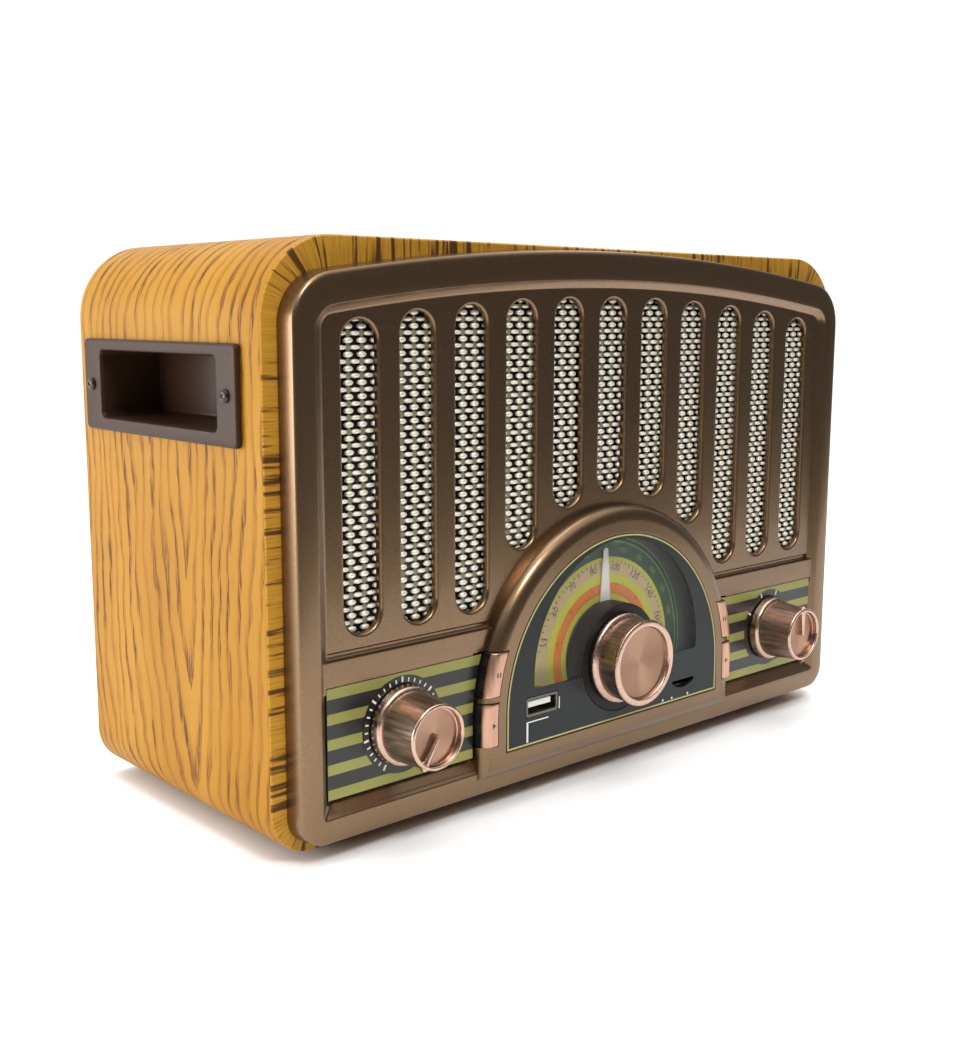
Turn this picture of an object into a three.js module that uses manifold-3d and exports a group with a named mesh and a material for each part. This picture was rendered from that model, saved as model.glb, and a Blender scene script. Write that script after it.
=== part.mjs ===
// A mains and battery table radio in a wood-wrapped cabinet with a moulded metallic front.
//
// Units are millimetres. +X is to the right of someone facing the radio, +Y goes from the front to the
// back, and +Z is up. The origin is the centre of the whole object's box, on the surface it stands on.
// Depths in front of or behind the cabinet's front edge are given from that edge with depth(), and
// heights above the cabinet's underside with height().

import * as THREE from "three";
import { mergeVertices } from "three/addons/utils/BufferGeometryUtils.js";
import Module from "manifold-3d";

const wasm = await Module();
wasm.setup();

// ---------------------------------------------------------------- driving dimensions

const GAP = 0.3; // clearance between pieces that touch or run in each other
const ARC_STEPS = 20; // straight facets along the arch's half circle
const THROUGH = 1; // how far a cutter runs past the faces that it cuts

const CABINET = { width: 280, height: 183, depth: 112, wall: 10, topCorner: 25, bottomCorner: 14.5 };
const FOOT = { radius: 9, height: 3, fromSide: 26, fromEnd: 15 };
const REACH = { front: 23.7, rear: 9.1 }; // the small knobs and the folded antenna stand out this far

const BEZEL = {
  halfWidth: 134.7, bottom: 3, top: 182, archRadius: 820, topCorner: 16, bottomCorner: 9.5,
  front: -7.5, back: -GAP, rimInset: 12.2, bevelWidth: 3, bevelDepth: 2.4,
};
const PANEL = { front: -5, back: -2.6 }; // the slotted panel inside the bezel's rim
const SLOT = { count: 11, pitch: 21.85, halfWidth: 6.75, topArc: 850, topCentre: 165.9, bottom: 65.5 };
const SLOT_ARC = { centreHeight: 29, radius: 70 }; // the middle slots end on this arc over the dial
const GROOVE = { low: 59.3, high: 61.4, depth: 0.9 };
const MESH = { front: -2.2, back: -1.2, halfWidth: 121, bottom: 62 };

const ARCH = {
  centreHeight: 29, innerRadius: 55.5, outerRadius: 65.3, front: -10.9, bottom: 9, openingBottom: 17.2,
  bevelWidth: 5, bevelDepth: 3.4,
};
const STRIP = { front: -6.2, outer: 125 }; // the raised strips between the grooves and the windows
const WINDOW = { outer: 124.2, low: 16.3, high: 51.5 }; // each side of the dial, as far in as the arch
const CONTROL_PANEL = { front: -5.9, flangeFront: -2.3, back: -1, flange: 2, innerRadius: 66.2 };

const LENS = { front: -10.9, thickness: 1.5 };
const SCALE = { front: -2.3, back: -1.5, radius: 57.5, overlap: 2 }; // laps behind the panel's edge
const DISC = { front: -10.9, back: -3.6, radius: 19.4 };
const POINTER = { front: -3.2, back: -2.7, length: 38.5, rootHalfWidth: 2.9, tipHalfWidth: 1, angle: 0 };

const SHAFT_RADIUS = 3;
const SHAFT_HOLE = SHAFT_RADIUS + GAP;
const TUNING = {
  height: 40, flangeRadius: 16.3, bodyRadius: 14.6, rimRadius: 15.3, faceRadius: 12, front: -22.7,
  flangeDepth: 2.2, faceDepth: 1.6, boreDepth: 8, shaftBack: 16,
};
const SMALL_KNOB = {
  x: 95.4, height: 34.6, flangeRadius: 12.9, bodyRadius: 11.2, rimRadius: 10.4, faceRadius: 9,
  front: -23.7, back: -6.3, flangeDepth: 3, faceDepth: 1.8, boreDepth: 12, shaftBack: 5,
};
const RIDGE = { halfWidth: 1.6, beak: 1.2 }; // the pointer ridge across a small knob's face
const VOLUME_ANGLE = -150;
const FUNCTION_ANGLE = 0;
const ROTARY = { radius: 8.5, front: -0.6, back: 8, boreRadius: SHAFT_HOLE };

const BUTTON = {
  inner: 59.4, outer: 65.3, front: -11.4, outerFront: -8.6, back: -2.2, length: 14.4,
  heights: [44.5, 27.8], stemHalf: 2, stemBack: 1.4,
};
const CURVE_STEPS = 120; // facets round a whole circle on the keys that follow the arch
const BUTTON_BOARD = { front: 4, thickness: 1.6, switchHeight: 1.1, switchHalf: 3, halfWidth: 5 };

const USB = { x: -39.1, height: 30.5, width: 15, tall: 6.7, wall: 1.05, back: 3, tongueTall: 1.7 };
const CARD = { x: 35.8, height: 24.1, slotWidth: 12, slotTall: 2.2, width: 15, tall: 4.6, back: 3 };
const MEDIA_BOARD = { halfWidth: 50, low: 18, high: 35.4, front: 3.3, thickness: 1.6 };
const TUNER = { half: 10, front: 6, back: 19 };

const SPEAKER = {
  x: 70, height: 112, flangeRadius: 38.5, coneRadius: 33, flangeFront: -0.9, flangeBack: 0.9,
  throatRadius: 11, throatDepth: 18, magnetRadius: 22, magnetFront: 19.4, magnetBack: 32,
};

const HANDLE = {
  nearEdge: 10.3, farEdge: 105.5, low: 122, high: 152, proud: 2,
  pocketNear: 21.5, pocketFar: 94, pocketLow: 126.4, pocketHigh: 148.2, pocketDepth: 20, wall: 1.6,
};
const HANDLE_SCREW = { headRadius: 2.6, headTall: 1, shankRadius: 1.3, length: 9, fromEdge: 5.6 };

const COVER = { front: 107, back: 110, corner: 14.5 };
const COVER_BLOCK = { size: 16, depth: 14 };
const COVER_SCREW = { headRadius: 3.4, headTall: 2, shankRadius: 1.5, length: 12, fromWall: 9 };
const BAY = { halfWidth: 41, low: 22, high: 66, depth: 25, wall: 2 };
const DOOR = { margin: 4, thickness: 1.7, hingeRadius: 1, belowHinge: 0.6, hingeHalf: 28 };
const PACK = { halfLength: 38, cellRadius: 9.6, spacing: 19.4 };
const VENT = { count: 7, pitch: 7, tall: 2.4, halfWidth: 40, low: 84 };
const INLET = {
  x: 88, height: 34, width: 22, tall: 13, recessWidth: 16, recessTall: 8, recess: 9, depth: 15,
};
const INLET_PIN = { radius: 1.2, spacing: 8.6, length: 7 };
const AUX = { x: 88, height: 60, flangeRadius: 4.5, barrelRadius: 3, boreRadius: 1.8, depth: 13 };

const MAIN_BOARD = { halfWidth: 55, front: 42, back: 76, low: 14, thickness: 1.6, legHalf: 3 };
const TRANSFORMER = {
  x: -95, y: 66, width: 42, depth: 16, tall: 35, coilWidth: 24, coilDepth: 32, coilTall: 25,
};
const FERRITE = { radius: 5, halfLength: 50, y: 92, height: 160, clipX: 38, clipHalf: 3 };

const ANTENNA = {
  pivotX: 105, height: 150, axisDepth: 117.5, flangeRadius: 7.5, flangeTall: 1.6, stemRadius: 4,
  forkHalf: 4, earInner: 2, earOuter: 3.6, lugHalf: 1.7, lugRadius: 3.2, pinRadius: 1,
  tubeStart: 7.5, tubeLength: 157, radii: [3.6, 2.9, 2.2, 1.5], wall: 0.4, tipRadius: 3.3, tipLength: 6,
};
const ANTENNA_REST = {
  x: -48, halfWidth: 4, ledge: 2.5, footTall: 10, footThick: 2, pegRadius: 1.4, pegLength: 5,
};

// ---------------------------------------------------------------- places in the frame

const HALF_DEPTH = (REACH.front + CABINET.depth + REACH.rear) / 2;
const FRONT_EDGE = REACH.front - HALF_DEPTH;

/** Y of a depth measured back from the cabinet's front edge. */
const depth = (value) => FRONT_EDGE + value;

/** Z of a height measured up from the cabinet's underside. */
const height = (value) => FOOT.height + value;

const radians = THREE.MathUtils.degToRad;

// ---------------------------------------------------------------- booleans

/** A manifold-3d solid of a closed three.js geometry. */
function solid(geometry) {
  const bare = geometry.index ? geometry.toNonIndexed() : geometry.clone();
  bare.deleteAttribute("normal");
  bare.deleteAttribute("uv");
  const merged = mergeVertices(bare, 1e-4);
  return new wasm.Manifold(
    new wasm.Mesh({
      numProp: 3,
      vertProperties: merged.getAttribute("position").array,
      triVerts: new Uint32Array(merged.index.array),
    }),
  );
}

/** The three.js geometry of a manifold-3d solid. */
function geometryOf(shape) {
  const mesh = shape.getMesh();
  const geometry = new THREE.BufferGeometry();
  geometry.setAttribute("position", new THREE.BufferAttribute(mesh.vertProperties, 3));
  geometry.setIndex(new THREE.BufferAttribute(mesh.triVerts, 1));
  const faceted = geometry.toNonIndexed();
  faceted.computeVertexNormals();
  return faceted;
}

/** One geometry of several that overlap. */
function joined(first, ...others) {
  return geometryOf(others.reduce((shape, other) => shape.add(solid(other)), solid(first)));
}

/** What is left of a geometry once every tool is cut out of it. */
function cut(body, ...tools) {
  return geometryOf(tools.reduce((shape, tool) => shape.subtract(solid(tool)), solid(body)));
}

/** What a geometry has in common with a tool. */
function common(body, tool) {
  return geometryOf(solid(body).intersect(solid(tool)));
}

// ---------------------------------------------------------------- basic shapes

/** A box between two X, two Y and two Z values. */
function block(x0, x1, y0, y1, z0, z1) {
  const box = new THREE.BoxGeometry(x1 - x0, y1 - y0, z1 - z0);
  return box.translate((x0 + x1) / 2, (y0 + y1) / 2, (z0 + z1) / 2);
}

/** An outline drawn in X and Z, extruded from the front Y to the back Y. */
function plate(outline, front, back, curveSegments = 12) {
  const body = new THREE.ExtrudeGeometry(outline, {
    depth: back - front,
    bevelEnabled: false,
    curveSegments,
  });
  return body.rotateX(Math.PI / 2).translate(0, back, 0);
}

/** A plate whose front edges, outer and inner, are rounded over by a bevel. */
function roundedPlate(outline, front, back, bevelWidth, bevelDepth, curveSegments = 12) {
  const core = back - front - bevelDepth + THROUGH;
  const body = new THREE.ExtrudeGeometry(outline, {
    depth: core,
    bevelSize: bevelWidth,
    bevelOffset: -bevelWidth,
    bevelThickness: bevelDepth,
    bevelSegments: 2,
    curveSegments,
  });
  body.rotateX(Math.PI / 2).translate(0, front + core + bevelDepth, 0);
  const size = CABINET.width;
  return cut(body, block(-size, size, back, back + size, -size, size));
}

/** A body turned about the Y axis from a profile of [radius, y] points. */
function turned(profile, segments = 32) {
  const area = profile.reduce((sum, [radius, y], i) => {
    const [nextRadius, nextY] = profile[(i + 1) % profile.length];
    return sum + radius * nextY - nextRadius * y;
  }, 0);
  const ordered = area > 0 ? profile : [...profile].reverse();
  const points = ordered.map(([radius, y]) => new THREE.Vector2(radius, y));
  const closesOnAxis = ordered[0][0] === 0 && ordered.at(-1)[0] === 0;
  if (!closesOnAxis) points.push(points[0].clone());
  return new THREE.LatheGeometry(points, segments);
}

/** A round rod along Y. */
function rod(radius, front, back, segments = 20) {
  const body = new THREE.CylinderGeometry(radius, radius, back - front, segments);
  return body.translate(0, (front + back) / 2, 0);
}

/** A rectangle with rounded corners in X and Z. */
function roundedRectangle(x0, x1, z0, z1, topCorner, bottomCorner = topCorner) {
  const outline = new THREE.Shape();
  outline.absarc(x1 - bottomCorner, z0 + bottomCorner, bottomCorner, -Math.PI / 2, 0, false);
  outline.absarc(x1 - topCorner, z1 - topCorner, topCorner, 0, Math.PI / 2, false);
  outline.absarc(x0 + topCorner, z1 - topCorner, topCorner, Math.PI / 2, Math.PI, false);
  outline.absarc(x0 + bottomCorner, z0 + bottomCorner, bottomCorner, Math.PI, 1.5 * Math.PI, false);
  outline.closePath();
  return outline;
}

/** The bezel's outline moved inwards: straight sides and a top that is one shallow arc. */
function archedOutline(inset) {
  const halfWidth = BEZEL.halfWidth - inset;
  const low = height(BEZEL.bottom + inset);
  const archRadius = BEZEL.archRadius - inset;
  const topCorner = Math.max(BEZEL.topCorner - inset, 2);
  const bottomCorner = Math.max(BEZEL.bottomCorner - inset, 2);
  const archCentre = height(BEZEL.top - BEZEL.archRadius);
  const cornerX = halfWidth - topCorner;
  const cornerZ = archCentre + Math.sqrt((archRadius - topCorner) ** 2 - cornerX ** 2);
  const tilt = Math.atan2(cornerX, cornerZ - archCentre);
  const up = Math.PI / 2;
  const outline = new THREE.Shape();
  outline.absarc(halfWidth - bottomCorner, low + bottomCorner, bottomCorner, -up, 0, false);
  outline.absarc(cornerX, cornerZ, topCorner, 0, up - tilt, false);
  outline.absarc(0, archCentre, archRadius, up - tilt, up + tilt, false);
  outline.absarc(-cornerX, cornerZ, topCorner, up + tilt, Math.PI, false);
  outline.absarc(bottomCorner - halfWidth, low + bottomCorner, bottomCorner, Math.PI, 3 * up, false);
  outline.closePath();
  return outline;
}

/** A half disc on straight legs, the shape of the dial and of the arch round it. */
function dialOutline(radius, bottom) {
  const outline = new THREE.Shape();
  outline.moveTo(-radius, height(bottom));
  outline.lineTo(radius, height(bottom));
  outline.absarc(0, height(ARCH.centreHeight), radius, 0, Math.PI, false);
  outline.closePath();
  return outline;
}

/** A vertical slot with round ends. */
function slotOutline(x, low, high, halfWidth) {
  return roundedRectangle(x - halfWidth, x + halfWidth, low, high, halfWidth - 0.01);
}

// ---------------------------------------------------------------- materials

const COLOURS = {
  oak: [0xd9a24c, 0.45, 0], bronze: [0x6b5340, 0.35, 0.6], steelMesh: [0xd8d8cc, 0.35, 0.9],
  stripes: [0x2b2e2a, 0.3, 0.2], lens: [0x30363a, 0.08, 0], scale: [0xb9a860, 0.5, 0],
  white: [0xe8e6dc, 0.4, 0], copper: [0xb9805f, 0.3, 0.95], copperKey: [0xd79a78, 0.35, 0.8],
  blackPlastic: [0x1c1c1c, 0.5, 0], brownPlastic: [0x4a352b, 0.45, 0], steel: [0xb8bcc0, 0.3, 1],
  chrome: [0xd5d8da, 0.12, 1], rubber: [0x151515, 0.9, 0], board: [0x2d6b3f, 0.6, 0],
  paper: [0x26262a, 0.9, 0], ferrite: [0x3a3a3e, 0.7, 0.1], lamination: [0x70757a, 0.5, 0.8],
  shrinkWrap: [0x2f62a8, 0.35, 0],
};

function material(name) {
  const [color, roughness, metalness] = COLOURS[name];
  return new THREE.MeshStandardMaterial({ color, roughness, metalness });
}

/** A named mesh, which is one physical piece. */
function piece(name, geometry, materialName, parent) {
  const mesh = new THREE.Mesh(geometry, material(materialName));
  mesh.name = name;
  parent.add(mesh);
  return mesh;
}

/** A group placed at a point, for pieces that are drawn about their own axis. */
function groupAt(parent, x, y, z) {
  const group = new THREE.Group();
  group.position.set(x, y, z);
  parent.add(group);
  return group;
}

// ---------------------------------------------------------------- cabinet

const SIDES = [
  { name: "left", sign: -1 },
  { name: "right", sign: 1 },
];

/** The four corners of the back, as [x, z] of the screws that hold the cover. */
function coverScrewPlaces() {
  const x = CABINET.width / 2 - CABINET.wall - COVER_SCREW.fromWall;
  const low = height(CABINET.wall + COVER_SCREW.fromWall);
  const high = height(CABINET.height - CABINET.wall - COVER_SCREW.fromWall);
  return [[-x, low], [x, low], [-x, high], [x, high]];
}

function cabinetShell(parent) {
  const half = CABINET.width / 2;
  const { wall, topCorner, bottomCorner } = CABINET;
  const outline = roundedRectangle(-half, half, height(0), height(CABINET.height), topCorner, bottomCorner);
  const inside = roundedRectangle(
    wall - half, half - wall, height(wall), height(CABINET.height - wall),
    topCorner - wall, bottomCorner - wall,
  );
  const cover = roundedRectangle(
    wall - half, half - wall, height(wall), height(CABINET.height - wall), COVER_BLOCK.size,
  );
  const sleeve = cut(
    plate(outline, depth(0), depth(CABINET.depth), 8),
    plate(inside, depth(-THROUGH), depth(CABINET.depth + THROUGH), 6),
  );
  const blockBack = depth(COVER.front - GAP);
  const cornerBlocks = cut(
    plate(outline, blockBack - COVER_BLOCK.depth, blockBack, 8),
    plate(cover, blockBack - COVER_BLOCK.depth - THROUGH, blockBack + THROUGH, 6),
    block(
      -half + wall + COVER_BLOCK.size, half - wall - COVER_BLOCK.size,
      depth(0), blockBack + THROUGH, 0, height(CABINET.height + THROUGH),
    ),
  );
  const handleHoles = SIDES.map(({ sign }) => {
    const margin = HANDLE.wall + GAP;
    const x = [sign * (half - wall - THROUGH), sign * (half + THROUGH)].sort((a, b) => a - b);
    return block(
      ...x, depth(HANDLE.pocketNear - margin), depth(HANDLE.pocketFar + margin),
      height(HANDLE.pocketLow - margin), height(HANDLE.pocketHigh + margin),
    );
  });
  const coverHoles = coverScrewPlaces().map(([x, z]) =>
    rod(COVER_SCREW.shankRadius + GAP, depth(COVER.back - COVER_SCREW.length - 2), depth(COVER.back), 12)
      .translate(x, 0, z),
  );
  const handleScrewHoles = handleScrewPlaces().map(({ sign, y, z }) =>
    alongX(rod(HANDLE_SCREW.shankRadius + GAP, -HANDLE_SCREW.length - 1, THROUGH, 10), sign)
      .translate(sign * half, y, z),
  );
  const shell = cut(joined(sleeve, cornerBlocks), ...handleHoles, ...coverHoles, ...handleScrewHoles);
  piece("cabinet_shell", shell, "oak", parent);
}

/** Turns a body drawn along Y with its outer end at +Y, so that the outer end faces the side's X. */
function alongX(geometry, sign) {
  return geometry.rotateZ((-sign * Math.PI) / 2);
}

function handleScrewPlaces() {
  const z = height((HANDLE.low + HANDLE.high) / 2);
  const ends = [HANDLE.nearEdge + HANDLE_SCREW.fromEdge, HANDLE.farEdge - HANDLE_SCREW.fromEdge];
  return SIDES.flatMap(({ name, sign }) =>
    ends.map((end, i) => ({ name: `handle_screw_${name}_${i + 1}`, sign, y: depth(end), z })),
  );
}

function handleCups(parent) {
  const half = CABINET.width / 2;
  for (const { name, sign } of SIDES) {
    const span = (inner, outer) => [sign * inner, sign * outer].sort((a, b) => a - b);
    const face = block(
      ...span(half + GAP, half + HANDLE.proud), depth(HANDLE.nearEdge), depth(HANDLE.farEdge),
      height(HANDLE.low), height(HANDLE.high),
    );
    const tub = block(
      ...span(half - HANDLE.pocketDepth - HANDLE.wall, half + 1),
      depth(HANDLE.pocketNear - HANDLE.wall), depth(HANDLE.pocketFar + HANDLE.wall),
      height(HANDLE.pocketLow - HANDLE.wall), height(HANDLE.pocketHigh + HANDLE.wall),
    );
    const pocket = block(
      ...span(half - HANDLE.pocketDepth, half + HANDLE.proud + THROUGH),
      depth(HANDLE.pocketNear), depth(HANDLE.pocketFar),
      height(HANDLE.pocketLow), height(HANDLE.pocketHigh),
    );
    const holes = handleScrewPlaces()
      .filter((place) => place.sign === sign)
      .map(({ y, z }) =>
        alongX(rod(HANDLE_SCREW.shankRadius + GAP, -THROUGH, HANDLE.proud + THROUGH, 10), sign)
          .translate(sign * half, y, z),
      );
    piece(`handle_cup_${name}`, cut(joined(face, tub), pocket, ...holes), "brownPlastic", parent);
  }
  for (const { name, sign, y, z } of handleScrewPlaces()) {
    const { headRadius, headTall, shankRadius, length } = HANDLE_SCREW;
    const foot = HANDLE.proud + GAP;
    const screw = turned(
      [[0, -length], [shankRadius, -length], [shankRadius, foot], [headRadius, foot],
        [headRadius, foot + headTall * 0.6], [headRadius * 0.6, foot + headTall], [0, foot + headTall]],
      12,
    );
    const mesh = piece(name, alongX(screw, sign), "steel", parent);
    mesh.position.set(sign * half, y, z);
  }
}

function feet(parent) {
  const half = CABINET.width / 2 - FOOT.fromSide;
  const ends = [
    { name: "front", y: depth(FOOT.fromEnd) },
    { name: "rear", y: depth(CABINET.depth - FOOT.fromEnd) },
  ];
  for (const { name: side, sign } of SIDES) {
    for (const { name: end, y } of ends) {
      const top = FOOT.height - GAP;
      const foot = turned([[0, 0], [FOOT.radius - 1, 0], [FOOT.radius, top], [0, top]], 20);
      foot.rotateX(Math.PI / 2);
      piece(`foot_${end}_${side}`, foot, "rubber", groupAt(parent, sign * half, y, 0));
    }
  }
}

// ---------------------------------------------------------------- front moulding and grille

/** The X, low end and high end of every slot in the grille panel. */
function slotPlaces() {
  const middle = (SLOT.count - 1) / 2;
  return Array.from({ length: SLOT.count }, (_, i) => {
    const x = (i - middle) * SLOT.pitch;
    const overDial = SLOT_ARC.centreHeight + Math.sqrt(Math.max(SLOT_ARC.radius ** 2 - x ** 2, 0));
    const isOuter = Math.abs(i - middle) > 2;
    const top = SLOT.topCentre - SLOT.topArc + Math.sqrt(SLOT.topArc ** 2 - x ** 2);
    return { x, low: height(isOuter ? SLOT.bottom : overDial), high: height(top) };
  });
}

/** The openings for the four push buttons in the arch's legs, open to the windows beside them. */
function buttonPockets() {
  const reach = [depth(ARCH.front - THROUGH), depth(THROUGH)];
  const inside = plate(dialOutline(BUTTON.inner - GAP, 0), ...reach, CURVE_STEPS / 2);
  return buttonPlaces().map(({ sign, z }) => {
    const x = [sign * ARCH.innerRadius / 2, sign * (ARCH.outerRadius + THROUGH)].sort((a, b) => a - b);
    const half = BUTTON.length / 2 + GAP;
    return cut(block(...x, ...reach, z - half, z + half), inside);
  });
}

function frontBezel(parent) {
  const rimOutline = archedOutline(0);
  rimOutline.holes.push(archedOutline(BEZEL.rimInset));
  const rim = roundedPlate(
    rimOutline, depth(BEZEL.front), depth(BEZEL.back), BEZEL.bevelWidth, BEZEL.bevelDepth, 6,
  );
  const panel = plate(archedOutline(BEZEL.rimInset - 2), depth(PANEL.front), depth(PANEL.back), 6);
  const lipOutline = archedOutline(BEZEL.rimInset - 3);
  lipOutline.holes.push(archedOutline(BEZEL.rimInset - 1));
  const locatingLip = plate(lipOutline, depth(PANEL.back - 1), depth(6), 6);
  const arch = roundedPlate(
    dialOutline(ARCH.outerRadius, ARCH.bottom), depth(ARCH.front), depth(PANEL.back),
    ARCH.bevelWidth, ARCH.bevelDepth, ARC_STEPS,
  );
  const dialOpening = plate(
    dialOutline(ARCH.innerRadius, ARCH.openingBottom), depth(ARCH.front - THROUGH), depth(THROUGH),
    ARC_STEPS,
  );
  const slots = slotPlaces().map(({ x, low, high }) =>
    plate(slotOutline(x, low, high, SLOT.halfWidth), depth(PANEL.front - THROUGH), depth(THROUGH), 4),
  );
  const strips = SIDES.map(({ sign }) => {
    const x = [sign * ARCH.innerRadius, sign * STRIP.outer].sort((a, b) => a - b);
    return block(
      ...x, depth(STRIP.front), depth(PANEL.back), height(WINDOW.high - THROUGH), height(GROOVE.low),
    );
  });
  const windows = SIDES.map(({ sign }) => {
    const x = [sign * ARCH.innerRadius, sign * WINDOW.outer].sort((a, b) => a - b);
    return block(...x, depth(BEZEL.front - THROUGH), depth(THROUGH), height(WINDOW.low), height(WINDOW.high));
  });
  const grooves = SIDES.map(({ sign }) => {
    const x = [sign * (ARCH.innerRadius + 2), sign * WINDOW.outer].sort((a, b) => a - b);
    const floor = PANEL.front + GROOVE.depth;
    return block(...x, depth(PANEL.front - THROUGH), depth(floor), height(GROOVE.low), height(GROOVE.high));
  });
  const opened = cut(joined(rim, panel, locatingLip, ...strips), ...grooves, ...slots, ...windows);
  const bezel = cut(joined(opened, arch), dialOpening, ...buttonPockets());
  piece("front_bezel", bezel, "bronze", parent);

  const sheet = archedOutline(BEZEL.rimInset + 0.5);
  const archClearance = plate(dialOutline(ARCH.outerRadius, 0), depth(MESH.front - 1), depth(1), 16);
  const below = block(
    -MESH.halfWidth - THROUGH, MESH.halfWidth + THROUGH, depth(MESH.front - 1), depth(1),
    -THROUGH, height(MESH.bottom),
  );
  const mesh = cut(plate(sheet, depth(MESH.front), depth(MESH.back), 6), archClearance, below);
  piece("grille_mesh", mesh, "steelMesh", parent);
}

function controlPanels(parent) {
  for (const { name, sign } of SIDES) {
    const span = (outer) => [sign * ARCH.innerRadius, sign * outer].sort((a, b) => a - b);
    const face = block(
      ...span(WINDOW.outer - GAP), depth(CONTROL_PANEL.front), depth(CONTROL_PANEL.back),
      height(WINDOW.low + GAP), height(WINDOW.high - GAP),
    );
    const flange = block(
      ...span(BEZEL.halfWidth - BEZEL.rimInset - GAP),
      depth(CONTROL_PANEL.flangeFront), depth(CONTROL_PANEL.back),
      height(WINDOW.low + GAP), height(WINDOW.high + CONTROL_PANEL.flange),
    );
    const archClearance = plate(
      dialOutline(CONTROL_PANEL.innerRadius, 0), depth(CONTROL_PANEL.front - THROUGH), depth(THROUGH), 30,
    );
    const hole = rod(SHAFT_HOLE, depth(CONTROL_PANEL.front - THROUGH), depth(THROUGH))
      .translate(sign * SMALL_KNOB.x, 0, height(SMALL_KNOB.height));
    piece(`control_panel_${name}`, cut(joined(face, flange), hole, archClearance), "stripes", parent);
  }
}

// ---------------------------------------------------------------- dial and tuning

/** The part of the USB socket's or card socket's outline that the plates in front give way to. */
function socketClearance(socket, front, back) {
  return block(
    socket.x - socket.width / 2 - GAP, socket.x + socket.width / 2 + GAP, depth(front), depth(back),
    height(socket.height - socket.tall / 2 - GAP), height(socket.height + socket.tall / 2 + GAP),
  );
}

function dial(parent) {
  const axis = height(TUNING.height);
  const shaftHole = rod(SHAFT_HOLE, depth(LENS.front - THROUGH), depth(THROUGH)).translate(0, 0, axis);
  const lensBack = LENS.front + LENS.thickness;
  const cardSlot = block(
    CARD.x - CARD.slotWidth / 2, CARD.x + CARD.slotWidth / 2,
    depth(LENS.front - THROUGH), depth(lensBack + THROUGH),
    height(CARD.height - CARD.slotTall / 2), height(CARD.height + CARD.slotTall / 2),
  );
  const dOutline = dialOutline(ARCH.innerRadius - GAP, ARCH.openingBottom + GAP);
  const lens = cut(
    plate(dOutline, depth(LENS.front), depth(lensBack), ARC_STEPS),
    rod(DISC.radius + GAP, depth(LENS.front - THROUGH), depth(THROUGH), 40).translate(0, 0, axis),
    cardSlot, socketClearance(USB, LENS.front - THROUGH, lensBack + THROUGH),
  );
  piece("dial_lens", lens, "lens", parent);

  const scaleOutline = dialOutline(SCALE.radius, ARCH.openingBottom - SCALE.overlap);
  const scale = cut(
    plate(scaleOutline, depth(SCALE.front), depth(SCALE.back), ARC_STEPS),
    shaftHole,
    socketClearance(USB, SCALE.front - THROUGH, SCALE.back + THROUGH),
    socketClearance(CARD, SCALE.front - THROUGH, SCALE.back + THROUGH),
  );
  piece("dial_scale", scale, "scale", parent);

  const onAxis = groupAt(parent, 0, 0, axis);
  const disc = turned(
    [[SHAFT_HOLE, depth(DISC.front)], [DISC.radius, depth(DISC.front)], [DISC.radius, depth(DISC.back)],
      [SHAFT_HOLE, depth(DISC.back)]],
    40,
  );
  piece("pointer_disc", disc, "blackPlastic", onAxis);
  piece("dial_pointer", pointerNeedle(), "white", onAxis);
  piece("tuning_knob", tuningKnob(), "copper", onAxis);
  const shaftFront = TUNING.front + TUNING.faceDepth + 3;
  piece("tuning_shaft", rod(SHAFT_RADIUS, depth(shaftFront), depth(TUNING.shaftBack)), "steel", onAxis);

  const half = TUNER.half;
  const can = cut(
    block(-half, half, depth(TUNER.front), depth(TUNER.back), -half, half),
    rod(SHAFT_HOLE, depth(TUNER.front - THROUGH), depth(TUNING.shaftBack + GAP)),
  );
  piece("tuning_capacitor", can, "white", onAxis);
}

function pointerNeedle() {
  const outline = new THREE.Shape();
  outline.moveTo(-POINTER.rootHalfWidth, 0);
  outline.lineTo(-POINTER.rootHalfWidth * 0.85, DISC.radius);
  outline.lineTo(-POINTER.tipHalfWidth, POINTER.length);
  outline.lineTo(POINTER.tipHalfWidth, POINTER.length);
  outline.lineTo(POINTER.rootHalfWidth * 0.85, DISC.radius);
  outline.lineTo(POINTER.rootHalfWidth, 0);
  const hub = rod(SHAFT_RADIUS + 2.2, depth(POINTER.front), depth(POINTER.back));
  const needle = joined(plate(outline, depth(POINTER.front), depth(POINTER.back)), hub);
  const bored = cut(needle, rod(SHAFT_HOLE, depth(POINTER.front - 1), depth(POINTER.back + 1)));
  return bored.rotateY(radians(POINTER.angle));
}

function tuningKnob() {
  const back = depth(DISC.front - GAP);
  const front = depth(TUNING.front);
  const { flangeRadius, bodyRadius, rimRadius, faceRadius, flangeDepth, faceDepth, boreDepth } = TUNING;
  const boreRadius = SHAFT_HOLE;
  return turned(
    [[boreRadius, back], [flangeRadius - 0.6, back], [flangeRadius, back - 0.8],
      [flangeRadius - 0.6, back - flangeDepth], [bodyRadius, back - flangeDepth - 0.4],
      [rimRadius, front + 1.6], [rimRadius - 0.4, front + 0.3], [rimRadius - 1.2, front],
      [faceRadius + 0.8, front], [faceRadius, front + faceDepth], [0, front + faceDepth + 0.6],
      [0, back - boreDepth], [boreRadius, back - boreDepth]],
    40,
  );
}

// ---------------------------------------------------------------- volume and function controls

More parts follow.
